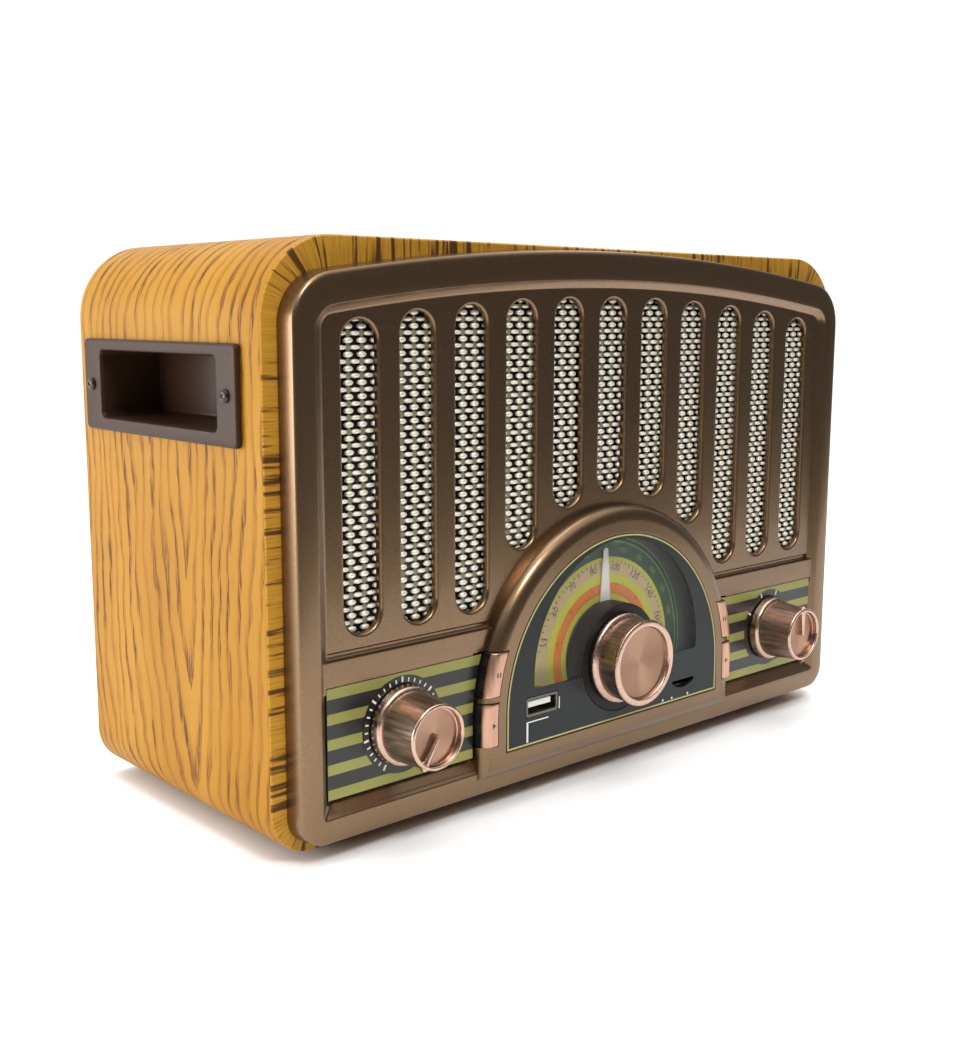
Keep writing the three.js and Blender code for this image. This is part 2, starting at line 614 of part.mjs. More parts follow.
/** A small knob about its own axis: flange, tapered body, recessed face and a ridge that points up. */
function smallKnob() {
  const back = depth(SMALL_KNOB.back);
  const front = depth(SMALL_KNOB.front);
  const { flangeRadius, bodyRadius, rimRadius, faceRadius, flangeDepth, faceDepth, boreDepth } = SMALL_KNOB;
  const body = turned(
    [[SHAFT_HOLE, back], [flangeRadius - 0.5, back], [flangeRadius, back - 0.7],
      [flangeRadius - 0.3, back - flangeDepth + 0.8], [bodyRadius, back - flangeDepth],
      [rimRadius, front + 0.8], [rimRadius - 0.6, front], [faceRadius + 0.3, front],
      [faceRadius, front + faceDepth], [0, front + faceDepth], [0, back - boreDepth],
      [SHAFT_HOLE, back - boreDepth]],
    28,
  );
  const ridge = new THREE.Shape();
  ridge.moveTo(-RIDGE.halfWidth / 3, -1);
  ridge.lineTo(RIDGE.halfWidth / 3, -1);
  ridge.lineTo(RIDGE.halfWidth, rimRadius - 0.4);
  ridge.lineTo(0, rimRadius + RIDGE.beak);
  ridge.lineTo(-RIDGE.halfWidth, rimRadius - 0.4);
  return joined(body, plate(ridge, front + 0.15, front + faceDepth + 0.4));
}

function rotaryControls(parent) {
  const controls = [
    { control: "volume", can: "volume_potentiometer", sign: -1, angle: VOLUME_ANGLE },
    { control: "function", can: "function_switch", sign: 1, angle: FUNCTION_ANGLE },
  ];
  const shaftFront = SMALL_KNOB.back - SMALL_KNOB.boreDepth + GAP;
  for (const { control, can, sign, angle } of controls) {
    const onAxis = groupAt(parent, sign * SMALL_KNOB.x, 0, height(SMALL_KNOB.height));
    piece(`${control}_knob`, smallKnob(), "copper", onAxis).rotation.y = radians(angle);
    const shaft = rod(SHAFT_RADIUS, depth(shaftFront), depth(SMALL_KNOB.shaftBack));
    piece(`${control}_shaft`, shaft, "steel", onAxis);
    const bore = rod(ROTARY.boreRadius, depth(ROTARY.front - THROUGH), depth(SMALL_KNOB.shaftBack + GAP));
    const tabs = block(-6, 6, depth(2), depth(4), -ROTARY.radius - 4, 0);
    const body = cut(joined(rod(ROTARY.radius, depth(ROTARY.front), depth(ROTARY.back), 28), tabs), bore);
    piece(can, body, "steel", onAxis);
  }
}

// ---------------------------------------------------------------- push buttons

function buttonPlaces() {
  return SIDES.flatMap(({ name, sign }) =>
    ["upper", "lower"].map((row, i) => ({
      name: `button_${row}_${name}`, sign, z: height(BUTTON.heights[i]),
    })),
  );
}

/** X of the middle of a key at a height above the dial's own centre. */
function keyMiddle(sign, overCentre) {
  const radius = (BUTTON.inner + BUTTON.outer) / 2;
  return sign * Math.sqrt(radius ** 2 - Math.max(overCentre, 0) ** 2);
}

/** A key that follows the arch round its curve and down its leg, with a stem to its switch. */
function pushButton(sign, z) {
  const { inner, outer, front, outerFront, back, length } = BUTTON;
  const corner = 0.5;
  const section = [
    [inner, depth(back)], [inner, depth(front + corner)], [inner + corner, depth(front)],
    [outer - 2.6, depth(front + 0.1)], [outer - 0.8, depth(front + 1.1)], [outer, depth(outerFront)],
    [outer, depth(back)],
  ];
  const centre = height(ARCH.centreHeight);
  const curve = common(
    turned(section, CURVE_STEPS).translate(0, 0, centre),
    block(-2 * outer, 2 * outer, depth(front - THROUGH), depth(0), centre, centre + 2 * outer),
  );
  const leg = new THREE.Shape(section.map(([radius, y]) => new THREE.Vector2(sign * radius, y)));
  const straight = new THREE.ExtrudeGeometry(leg, { depth: 2 * outer, bevelEnabled: false });
  straight.translate(0, 0, centre - 2 * outer);
  const middle = keyMiddle(sign, z - centre);
  const span = [sign, sign * 2 * outer].sort((a, b) => a - b);
  const key = common(
    joined(curve, straight),
    block(...span, depth(front - THROUGH), depth(0), z - length / 2, z + length / 2),
  );
  const half = BUTTON.stemHalf;
  const stem = block(
    middle - half, middle + half, depth(back - 0.5), depth(BUTTON.stemBack), z - half, z + half,
  );
  return joined(key, stem).translate(0, 0, -z);
}

function buttons(parent) {
  for (const { name, sign, z } of buttonPlaces()) {
    piece(name, pushButton(sign, z), "copperKey", groupAt(parent, 0, 0, z));
  }
  for (const { name, sign } of SIDES) {
    const middle = (sign * (BUTTON.inner + BUTTON.outer)) / 2;
    const { front, thickness, switchHeight, switchHalf, halfWidth } = BUTTON_BOARD;
    const low = height(BUTTON.heights[1] - 8);
    const high = height(BUTTON.heights[0] + 8);
    const board = block(
      middle - halfWidth, middle + halfWidth, depth(front), depth(front + thickness), low, high,
    );
    const switches = BUTTON.heights.map((value) => {
      const x = keyMiddle(sign, value - ARCH.centreHeight);
      return block(
        x - switchHalf, x + switchHalf, depth(front - switchHeight), depth(front + 0.5),
        height(value) - switchHalf, height(value) + switchHalf,
      );
    });
    piece(`button_board_${name}`, joined(board, ...switches), "board", parent);
  }
}

// ---------------------------------------------------------------- sockets and boards

function sockets(parent) {
  const { x, wall, back, tongueTall } = USB;
  const middle = height(USB.height);
  const halfWidth = USB.width / 2;
  const halfTall = USB.tall / 2;
  const front = LENS.front;
  const shell = cut(
    block(x - halfWidth, x + halfWidth, depth(front), depth(back), middle - halfTall, middle + halfTall),
    block(
      x - halfWidth + wall, x + halfWidth - wall, depth(front - THROUGH), depth(back - wall),
      middle - halfTall + wall, middle + halfTall - wall,
    ),
  );
  const tongueLow = middle + halfTall - wall - tongueTall - 0.35;
  const tongue = block(
    x - halfWidth + wall + 0.7, x + halfWidth - wall - 0.7, depth(front + 0.8), depth(back),
    tongueLow, tongueLow + tongueTall,
  );
  piece("usb_socket", joined(shell, tongue), "steel", parent);

  const cardFront = LENS.front + LENS.thickness + GAP;
  const card = cut(
    block(
      CARD.x - CARD.width / 2, CARD.x + CARD.width / 2, depth(cardFront), depth(CARD.back),
      height(CARD.height - CARD.tall / 2), height(CARD.height + CARD.tall / 2),
    ),
    block(
      CARD.x - CARD.slotWidth / 2, CARD.x + CARD.slotWidth / 2,
      depth(cardFront - THROUGH), depth(CARD.back - 1),
      height(CARD.height - CARD.slotTall / 2), height(CARD.height + CARD.slotTall / 2),
    ),
  );
  piece("card_socket", card, "steel", parent);

  const board = MEDIA_BOARD;
  piece(
    "media_board",
    block(
      -board.halfWidth, board.halfWidth, depth(board.front), depth(board.front + board.thickness),
      height(board.low), height(board.high),
    ),
    "board", parent,
  );
}

// ---------------------------------------------------------------- inside the cabinet

function speakers(parent) {
  const s = SPEAKER;
  for (const { name, sign } of SIDES) {
    const onAxis = groupAt(parent, sign * s.x, 0, height(s.height));
    const basket = turned(
      [[0, depth(s.magnetFront)], [s.throatRadius + 1.5, depth(s.magnetFront)],
        [s.coneRadius, depth(s.flangeFront)], [s.flangeRadius, depth(s.flangeFront)],
        [s.flangeRadius, depth(s.flangeBack)], [s.coneRadius + 1.2, depth(s.flangeBack)],
        [s.magnetRadius - 2, depth(s.magnetFront - 2)], [s.magnetRadius, depth(s.magnetFront - 1)],
        [s.magnetRadius, depth(s.magnetBack)], [0, depth(s.magnetBack)]],
      28,
    );
    piece(`speaker_frame_${name}`, basket, "lamination", onAxis);
    const cone = turned(
      [[0, depth(s.throatDepth - 4)], [s.throatRadius - 2, depth(s.throatDepth - 1)],
        [s.coneRadius - 1.2, depth(s.flangeFront)], [s.coneRadius - 0.5, depth(s.flangeFront + 0.2)],
        [s.throatRadius + 0.4, depth(s.throatDepth + 0.9)], [0, depth(s.throatDepth + 0.9)]],
      28,
    );
    piece(`speaker_cone_${name}`, cone, "paper", onAxis);
  }
}

function electronics(parent) {
  const b = MAIN_BOARD;
  const board = block(
    -b.halfWidth, b.halfWidth, depth(b.front), depth(b.back), height(b.low), height(b.low + b.thickness),
  );
  const legs = [-1, 1].flatMap((side) =>
    [b.front + b.legHalf, b.back - b.legHalf].map((y) => {
      const x = side * (b.halfWidth - b.legHalf);
      return block(
        x - b.legHalf, x + b.legHalf, depth(y - b.legHalf), depth(y + b.legHalf),
        height(CABINET.wall + GAP), height(b.low + b.thickness / 2),
      );
    }),
  );
  const components = [
    block(-30, -12, depth(50), depth(68), height(b.low), height(b.low + 8)),
    block(10, 34, depth(48), depth(60), height(b.low), height(b.low + 14)),
    block(-2, 6, depth(62), depth(70), height(b.low), height(b.low + 18)),
  ];
  piece("main_board", joined(board, ...legs, ...components), "board", parent);

  const t = TRANSFORMER;
  const floor = height(CABINET.wall + GAP);
  const core = block(
    t.x - t.width / 2, t.x + t.width / 2, depth(t.y - t.depth / 2), depth(t.y + t.depth / 2),
    floor, floor + t.tall,
  );
  const coil = block(
    t.x - t.coilWidth / 2, t.x + t.coilWidth / 2, depth(t.y - t.coilDepth / 2), depth(t.y + t.coilDepth / 2),
    floor + (t.tall - t.coilTall) / 2, floor + (t.tall + t.coilTall) / 2,
  );
  piece("transformer", joined(core, coil), "lamination", parent);

  const ferrite = rod(FERRITE.radius, -FERRITE.halfLength, FERRITE.halfLength, 20).rotateZ(Math.PI / 2);
  piece("ferrite_rod", ferrite, "ferrite", groupAt(parent, 0, depth(FERRITE.y), height(FERRITE.height)));
}

// ---------------------------------------------------------------- back

/** Two arms with a saddle that hold the ferrite rod, moulded on the cover's inner face. */
function ferriteClips() {
  const { clipX, clipHalf, radius, y, height: middle } = FERRITE;
  const saddle = rod(radius + GAP, -FERRITE.halfLength, FERRITE.halfLength, 20)
    .rotateZ(Math.PI / 2)
    .translate(0, depth(y), height(middle));
  return [-clipX, clipX].map((x) =>
    cut(
      block(
        x - clipHalf, x + clipHalf, depth(y), depth(COVER.front + 1),
        height(middle - radius - 3), height(middle + radius + 2),
      ),
      saddle,
    ),
  );
}

function rearCover(parent) {
  const half = CABINET.width / 2 - CABINET.wall - GAP;
  const sheet = plate(
    roundedRectangle(
      -half, half, height(CABINET.wall + GAP), height(CABINET.height - CABINET.wall - GAP), COVER.corner,
      CABINET.bottomCorner - CABINET.wall,
    ),
    depth(COVER.front), depth(COVER.back), 6,
  );
  const tub = block(
    -BAY.halfWidth - BAY.wall, BAY.halfWidth + BAY.wall, depth(COVER.back - BAY.depth - BAY.wall),
    depth(COVER.front + 1), height(BAY.low - BAY.wall), height(BAY.high + BAY.wall),
  );
  const body = joined(sheet, tub, ...ferriteClips());

  const bay = block(
    -BAY.halfWidth, BAY.halfWidth, depth(COVER.back - BAY.depth), depth(COVER.back + THROUGH),
    height(BAY.low), height(BAY.high),
  );
  const doorSeat = block(
    -BAY.halfWidth - DOOR.margin, BAY.halfWidth + DOOR.margin, depth(COVER.back - DOOR.thickness - GAP),
    depth(COVER.back + THROUGH), height(BAY.low - DOOR.margin), height(BAY.high + DOOR.margin),
  );
  const vents = Array.from({ length: VENT.count }, (_, i) => {
    const low = height(VENT.low + i * VENT.pitch);
    return block(
      -VENT.halfWidth, VENT.halfWidth, depth(COVER.front - THROUGH), depth(COVER.back + THROUGH),
      low, low + VENT.tall,
    );
  });
  const screwHoles = coverScrewPlaces().map(([x, z]) =>
    rod(COVER_SCREW.shankRadius + GAP, depth(COVER.front - THROUGH), depth(COVER.back + THROUGH), 12)
      .translate(x, 0, z),
  );
  const inletHole = block(
    INLET.x - INLET.width / 2 - GAP, INLET.x + INLET.width / 2 + GAP,
    depth(COVER.front - THROUGH), depth(COVER.back + THROUGH),
    height(INLET.height - INLET.tall / 2 - GAP), height(INLET.height + INLET.tall / 2 + GAP),
  );
  const auxHole = rod(AUX.barrelRadius + GAP, depth(COVER.front - THROUGH), depth(COVER.back + THROUGH), 16)
    .translate(AUX.x, 0, height(AUX.height));
  const antennaHole = rod(
    ANTENNA.stemRadius + GAP, depth(COVER.front - THROUGH), depth(COVER.back + THROUGH), 20,
  ).translate(ANTENNA.pivotX, 0, height(ANTENNA.height));
  const restHole = rod(
    ANTENNA_REST.pegRadius + GAP, depth(COVER.front - THROUGH), depth(COVER.back + THROUGH), 12,
  ).translate(ANTENNA_REST.x, 0, antennaRestTop() - ANTENNA_REST.footTall / 2);
  const cover = cut(body, bay, doorSeat, ...vents, ...screwHoles, inletHole, auxHole, antennaHole, restHole);
  piece("rear_cover", cover, "blackPlastic", parent);

  coverScrewPlaces().forEach(([x, z], i) => {
    const { headRadius, headTall, shankRadius, length } = COVER_SCREW;
    const foot = depth(COVER.back + GAP);
    const screw = turned(
      [[0, foot - length], [shankRadius, foot - length], [shankRadius, foot], [headRadius, foot],
        [headRadius, foot + headTall * 0.5], [headRadius * 0.6, foot + headTall - 0.5],
        [0, foot + headTall - 0.5]],
      14,
    );
    piece(`rear_screw_${i + 1}`, screw, "steel", groupAt(parent, x, 0, z));
  });
}

function antennaRestTop() {
  return height(ANTENNA.height) - ANTENNA.radii[0] - GAP;
}

/** The small bracket that the folded antenna lies on, pegged into the back. */
function antennaRest(parent) {
  const { x, halfWidth, ledge, footTall, footThick, pegRadius, pegLength } = ANTENNA_REST;
  const top = antennaRestTop();
  const face = depth(COVER.back + GAP);
  const foot = block(x - halfWidth, x + halfWidth, face, face + footThick, top - footTall, top);
  const shelf = block(x - halfWidth, x + halfWidth, face, depth(ANTENNA.axisDepth + 1), top - ledge, top);
  const peg = rod(pegRadius, face - pegLength, face + 0.5, 12).translate(x, 0, top - footTall / 2);
  piece("antenna_rest", joined(foot, shelf, peg), "blackPlastic", parent);
}

function battery(parent) {
  const door = new THREE.Group();
  parent.add(door);
  const inset = GAP;
  const hingeY = depth(COVER.back - DOOR.thickness / 2);
  const hingeZ = height(BAY.low - DOOR.margin + inset) + DOOR.hingeRadius;
  const leaf = block(
    -BAY.halfWidth - DOOR.margin + inset, BAY.halfWidth + DOOR.margin - inset,
    depth(COVER.back - DOOR.thickness), depth(COVER.back),
    hingeZ - DOOR.belowHinge, height(BAY.high + DOOR.margin - inset),
  );
  const latch = block(
    -8, 8, depth(COVER.back - 1), depth(COVER.back + 1.2), height(BAY.high - 4), height(BAY.high - 1),
  );
  const barrel = rod(DOOR.hingeRadius, -DOOR.hingeHalf, DOOR.hingeHalf, 12)
    .rotateZ(Math.PI / 2)
    .translate(0, hingeY, hingeZ);
  piece("battery_door", joined(leaf, latch, barrel), "blackPlastic", door);

  const outline = new THREE.Shape();
  const r = PACK.cellRadius;
  const rise = PACK.spacing / 2;
  outline.absarc(0, rise, r, 0, Math.PI, false);
  outline.absarc(0, -rise, r, Math.PI, 2 * Math.PI, false);
  outline.closePath();
  const cells = new THREE.ExtrudeGeometry(outline, {
    depth: 2 * PACK.halfLength, bevelEnabled: false, curveSegments: 10,
  });
  cells.translate(0, 0, -PACK.halfLength).rotateY(Math.PI / 2);
  cells.rotateX(Math.PI / 2);
  const middle = groupAt(
    parent, 0, depth(COVER.back - BAY.depth + r + GAP), height((BAY.low + BAY.high) / 2),
  );
  piece("battery_pack", cells, "shrinkWrap", middle);
}

function rearSockets(parent) {
  const { x, width, tall, recessWidth, recessTall, recess } = INLET;
  const z = height(INLET.height);
  const back = depth(COVER.back + 0.6);
  const body = cut(
    block(x - width / 2, x + width / 2, back - INLET.depth, back, z - tall / 2, z + tall / 2),
    plate(
      roundedRectangle(x - recessWidth / 2, x + recessWidth / 2, z - recessTall / 2, z + recessTall / 2, 3.9),
      back - recess, back + THROUGH, 5,
    ),
  );
  const pins = [-1, 1].map((side) =>
    rod(INLET_PIN.radius, back - recess - 1, back - recess + INLET_PIN.length, 10)
      .translate(x + (side * INLET_PIN.spacing) / 2, 0, z),
  );
  piece("power_inlet", joined(body, ...pins), "blackPlastic", parent);

  const flange = depth(COVER.back + GAP);
  const jack = turned(
    [[AUX.boreRadius, flange - AUX.depth], [AUX.barrelRadius, flange - AUX.depth], [AUX.barrelRadius, flange],
      [AUX.flangeRadius, flange], [AUX.flangeRadius, flange + 0.9], [AUX.boreRadius, flange + 0.9]],
    20,
  );
  piece("aux_jack", jack, "steel", groupAt(parent, AUX.x, 0, height(AUX.height)));
}

// ---------------------------------------------------------------- antenna

/** The antenna folded along the top of the back: swivel base, elbow, and tubes that slide in each other. */
function antenna(parent) {
  const a = ANTENNA;
  const atPivot = groupAt(parent, a.pivotX, depth(a.axisDepth), height(a.height));
  const coverFace = COVER.back - a.axisDepth;
  const forkFloor = -a.lugRadius - 0.9;
  const flange = rod(a.flangeRadius, coverFace + GAP, coverFace + GAP + a.flangeTall, 28);
  const stem = rod(a.stemRadius, COVER.front - a.axisDepth - 3, forkFloor + 0.2, 20);
  const root = block(-a.forkHalf, a.forkHalf, forkFloor - 2, forkFloor, -a.earOuter, a.earOuter);
  const ears = [-1, 1].map((side) => {
    const z = [side * a.earInner, side * a.earOuter].sort((p, q) => p - q);
    return block(-a.forkHalf, a.forkHalf, forkFloor - 0.5, a.lugRadius, ...z);
  });
  const pin = rod(a.pinRadius, -a.earInner - 0.5, a.earInner + 0.5, 12).rotateX(Math.PI / 2);
  piece("antenna_swivel", joined(flange, stem, root, ...ears, pin), "chrome", atPivot);

  const tube = (radius, bore, start, length) =>
    turned([[bore, start], [radius, start], [radius, start + length], [bore, start + length]], 16)
      .rotateZ(Math.PI / 2);
  const lugEye = rod(a.lugRadius, -a.lugHalf, a.lugHalf, 20).rotateX(Math.PI / 2);
  const lugArm = block(-a.tubeStart - 1, 0, -a.lugRadius + 0.6, a.lugRadius - 0.6, -a.lugHalf, a.lugHalf);
  const plug = rod(a.radii[0], a.tubeStart, a.tubeStart + 3, 16).rotateZ(Math.PI / 2);
  const pinHole = rod(a.pinRadius + GAP, -a.lugHalf - 1, a.lugHalf + 1, 12).rotateX(Math.PI / 2);
  const [outer, ...inner] = a.radii;
  const base = joined(
    lugEye, lugArm, plug, tube(outer, outer - a.wall, a.tubeStart + 2, a.tubeLength - 2),
  );
  piece("antenna_tube_1", cut(base, pinHole), "chrome", atPivot);
  inner.forEach((radius, i) => {
    const start = a.tubeStart + 3 + GAP + i;
    const end = a.tubeStart + a.tubeLength + GAP + i * 0.5;
    const isLast = i === inner.length - 1;
    const shape = isLast
      ? rod(radius, start, end + 1, 16).rotateZ(Math.PI / 2)
      : tube(radius, radius - a.wall, start, end - start);
    piece(`antenna_tube_${i + 2}`, shape, "chrome", atPivot);
  });
  const tipStart = a.tubeStart + a.tubeLength + 2.6;
  const tip = turned(
    [[0, tipStart], [a.tipRadius, tipStart], [a.tipRadius, tipStart + a.tipLength - 1.2],
      [a.tipRadius - 1.2, tipStart + a.tipLength], [0, tipStart + a.tipLength]],
    16,
  );
  piece("antenna_tip", tip.rotateZ(Math.PI / 2), "chrome", atPivot);
}

// ---------------------------------------------------------------- the whole radio

const radio = new THREE.Group();
cabinetShell(radio);
handleCups(radio);
feet(radio);
frontBezel(radio);
controlPanels(radio);
dial(radio);
rotaryControls(radio);
buttons(radio);
sockets(radio);
speakers(radio);
electronics(radio);
rearCover(radio);
battery(radio);
rearSockets(radio);
antennaRest(radio);
antenna(radio);

export default radio;
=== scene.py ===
"""The looks of a retro table radio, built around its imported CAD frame.

Lengths in this script are millimetres in the frame's own axes: +X right, +Y back, +Z up. They become
metres where a mesh is made. Depths are counted back from the cabinet's front edge with at_depth(), and
heights up from the cabinet's underside with at_height().
"""

import math

import bmesh
import bpy
from mathutils import Matrix, Quaternion, Vector


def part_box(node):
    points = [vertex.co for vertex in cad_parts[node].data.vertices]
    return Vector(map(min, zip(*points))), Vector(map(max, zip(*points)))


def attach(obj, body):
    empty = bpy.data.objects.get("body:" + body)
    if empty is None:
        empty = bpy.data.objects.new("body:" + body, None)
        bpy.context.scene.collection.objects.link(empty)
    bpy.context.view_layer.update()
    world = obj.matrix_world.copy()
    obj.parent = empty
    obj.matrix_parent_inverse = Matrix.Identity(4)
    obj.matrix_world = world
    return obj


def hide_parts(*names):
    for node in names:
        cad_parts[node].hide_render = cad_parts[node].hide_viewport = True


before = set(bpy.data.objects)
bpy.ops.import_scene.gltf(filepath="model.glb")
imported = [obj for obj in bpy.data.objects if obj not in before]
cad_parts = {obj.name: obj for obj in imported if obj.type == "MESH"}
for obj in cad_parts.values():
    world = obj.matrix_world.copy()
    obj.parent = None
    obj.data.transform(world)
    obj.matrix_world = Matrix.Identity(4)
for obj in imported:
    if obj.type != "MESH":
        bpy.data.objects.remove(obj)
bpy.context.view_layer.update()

MM = 0.001

# ---------------------------------------------------------------- driving dimensions

CABINET_LOW, CABINET_HIGH = (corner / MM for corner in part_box("cabinet_shell"))
FRONT_EDGE = CABINET_LOW.y
FOOT_HEIGHT = CABINET_LOW.z
WIDTH = CABINET_HIGH.x - CABINET_LOW.x
HEIGHT = CABINET_HIGH.z - CABINET_LOW.z
DEPTH = CABINET_HIGH.y - CABINET_LOW.y
WALL = 10
TOP_CORNER = 25
BOTTOM_CORNER = 14.5

BEZEL = {"half": 134.7, "bottom": 3, "top": 182, "arch": 820, "top_corner": 16, "bottom_corner": 9.5}
RIM_FRONT = -7.5
PANEL_FRONT = -5
PANEL_BACK = -2.6
RIM_INSET = 12.2

SLOT_PITCH = 21.85
SLOT_HALF = 6.75
SLOT_COUNT = 11
SLOT_TOP_ARC = 850
SLOT_TOP = 165.9
SLOT_BOTTOM = 65.5
SLOT_ARC_RADIUS = 70

DIAL_CENTRE = 29
DIAL_RADIUS = 55.5
DIAL_BOTTOM = 17.2
ARCH_RADIUS = 65.3
ARCH_FRONT = -10.9
ARCH_BOTTOM = 9

LIP_BACK = 6
CUT_BACK = 4  # the depth at which the openings' cutters end, well behind the panel
SLOT_ROUNDING = 1.05
DIAL_ROUNDING = 0.35
DIAL_CUT_BACK = 8

STRIP_FRONT = -6.2
STRIP_OUTER = 125.6
STRIP_TOP = 59.4
WINDOW_OUTER = 124.2
WINDOW_LOW = 16.3
WINDOW_HIGH = 51.5
CONTROL_FRONT = -5.9
CONTROL_BACK = -1
CONTROL_INNER_RADIUS = 66.2

KNOB_AXIS = 40
SCALE_FRONT = -2.3
SCALE_RADIUS = 57.5
SCALE_OVERLAP = 2
SMALL_KNOB_X = 95.4
SMALL_KNOB_Z = 34.6


def at_depth(value):
    """Y, in millimetres, of a depth behind the cabinet's front edge."""
    return FRONT_EDGE + value


def at_height(value):
    """Z, in millimetres, of a height above the cabinet's underside."""
    return FOOT_HEIGHT + value


# ---------------------------------------------------------------- shader helpers


class Shader:
    """A procedural material: a Principled shader and the nodes that feed it."""

    def __init__(self, name, **settings):
        self.material = bpy.data.materials.new(name)
        self.material.use_nodes = True
        self.tree = self.material.node_tree
        self.surface = self.tree.nodes["Principled BSDF"]
        for socket, value in settings.items():
            self.set(self.surface, socket.replace("_", " "), value)

    def set(self, node, socket, value):
        """Gives a socket a value, or links another socket to it."""
        target = node.inputs[socket]
        if isinstance(value, bpy.types.NodeSocket):
            self.tree.links.new(value, target)
        elif isinstance(value, tuple) and len(value) == 3 and target.type == "RGBA":
            target.default_value = (*value, 1)
        else:
            target.default_value = value

    def add(self, kind, inputs=None, **properties):
        node = self.tree.nodes.new(f"ShaderNode{kind}")
        for name, value in properties.items():
            setattr(node, name, value)
        for socket, value in (inputs or {}).items():
            self.set(node, socket, value)
        return node

    def math(self, operation, a, b=0.0):
        return self.add("Math", {0: a, 1: b}, operation=operation).outputs[0]

    def coordinates(self):
        return self.add("TexCoord").outputs["Object"]

    def grain_coordinates(self):
        """The UV map's U and V, and both together as a vector."""
        uv = self.add("SeparateXYZ", {"Vector": self.add("UVMap").outputs["UV"]})
        along, across = uv.outputs[0], uv.outputs[1]
        return along, across, self.add("CombineXYZ", {"X": along, "Y": across, "Z": 0.0}).outputs[0]

    def mapped(self, vector, scale):
        return self.add("Mapping", {"Vector": vector, "Scale": scale}).outputs[0]

    def noise(self, vector, scale=1.0, detail=2.0, roughness=0.5):
        node = self.add("TexNoise", {
            "Vector": vector, "Scale": scale, "Detail": detail, "Roughness": roughness,
        })
        return node.outputs["Fac"]

    def spread(self, value, low, high, out_low=0.0, out_high=1.0, smooth=False):
        """A value from low to high moved to the range from out_low to out_high."""
        node = self.add("MapRange", {
            "Value": value, "From Min": low, "From Max": high, "To Min": out_low, "To Max": out_high,
        })
        node.interpolation_type = "SMOOTHSTEP" if smooth else "LINEAR"
        return node.outputs[0]

    def ramp(self, factor, stops):
        node = self.add("ValToRGB", {"Fac": factor})
        elements = node.color_ramp.elements
        while len(elements) < len(stops):
            elements.new(0.5)
        for element, (place, colour) in zip(elements, stops):
            element.position = place
            element.color = (*colour, 1)
        return node.outputs["Color"]

    def mix(self, factor, a, b):
        """A blend of two colours."""
        return self.add("Mix", {0: factor, 6: a, 7: b}, data_type="RGBA").outputs[2]

    def offset(self, value, noise, reach):
        """A value moved to and fro by a noise, by up to half of reach each way."""
        return self.math("ADD", value, self.math("MULTIPLY", self.math("SUBTRACT", noise, 0.5), reach))

    def bump(self, height, distance, strength=1.0):
        node = self.add("Bump", {"Height": height, "Distance": distance, "Strength": strength})
        self.set(self.surface, "Normal", node.outputs["Normal"])


def srgb(red, green, blue):
    """The linear colour of an 8-bit display colour."""
    def linear(value):
        value /= 255
        return value / 12.92 if value <= 0.04045 else ((value + 0.055) / 1.055) ** 2.4
    return (linear(red), linear(green), linear(blue))


# ---------------------------------------------------------------- materials

# Places round the cabinet, in metres from its lower right corner, where the grain's points begin.
LEFT_HEART = 0.520
RIGHT_HEART = 0.095
# How far back across each side the points lie, in metres from the cabinet's front edge.
HEART_DEPTH = 0.046
HEART_LEAN = 0.15
RING_SHARPNESS = 1.35  # 2 would give round rings: closer to 1 draws their ends out to points
RINGS_PER_METRE = 190


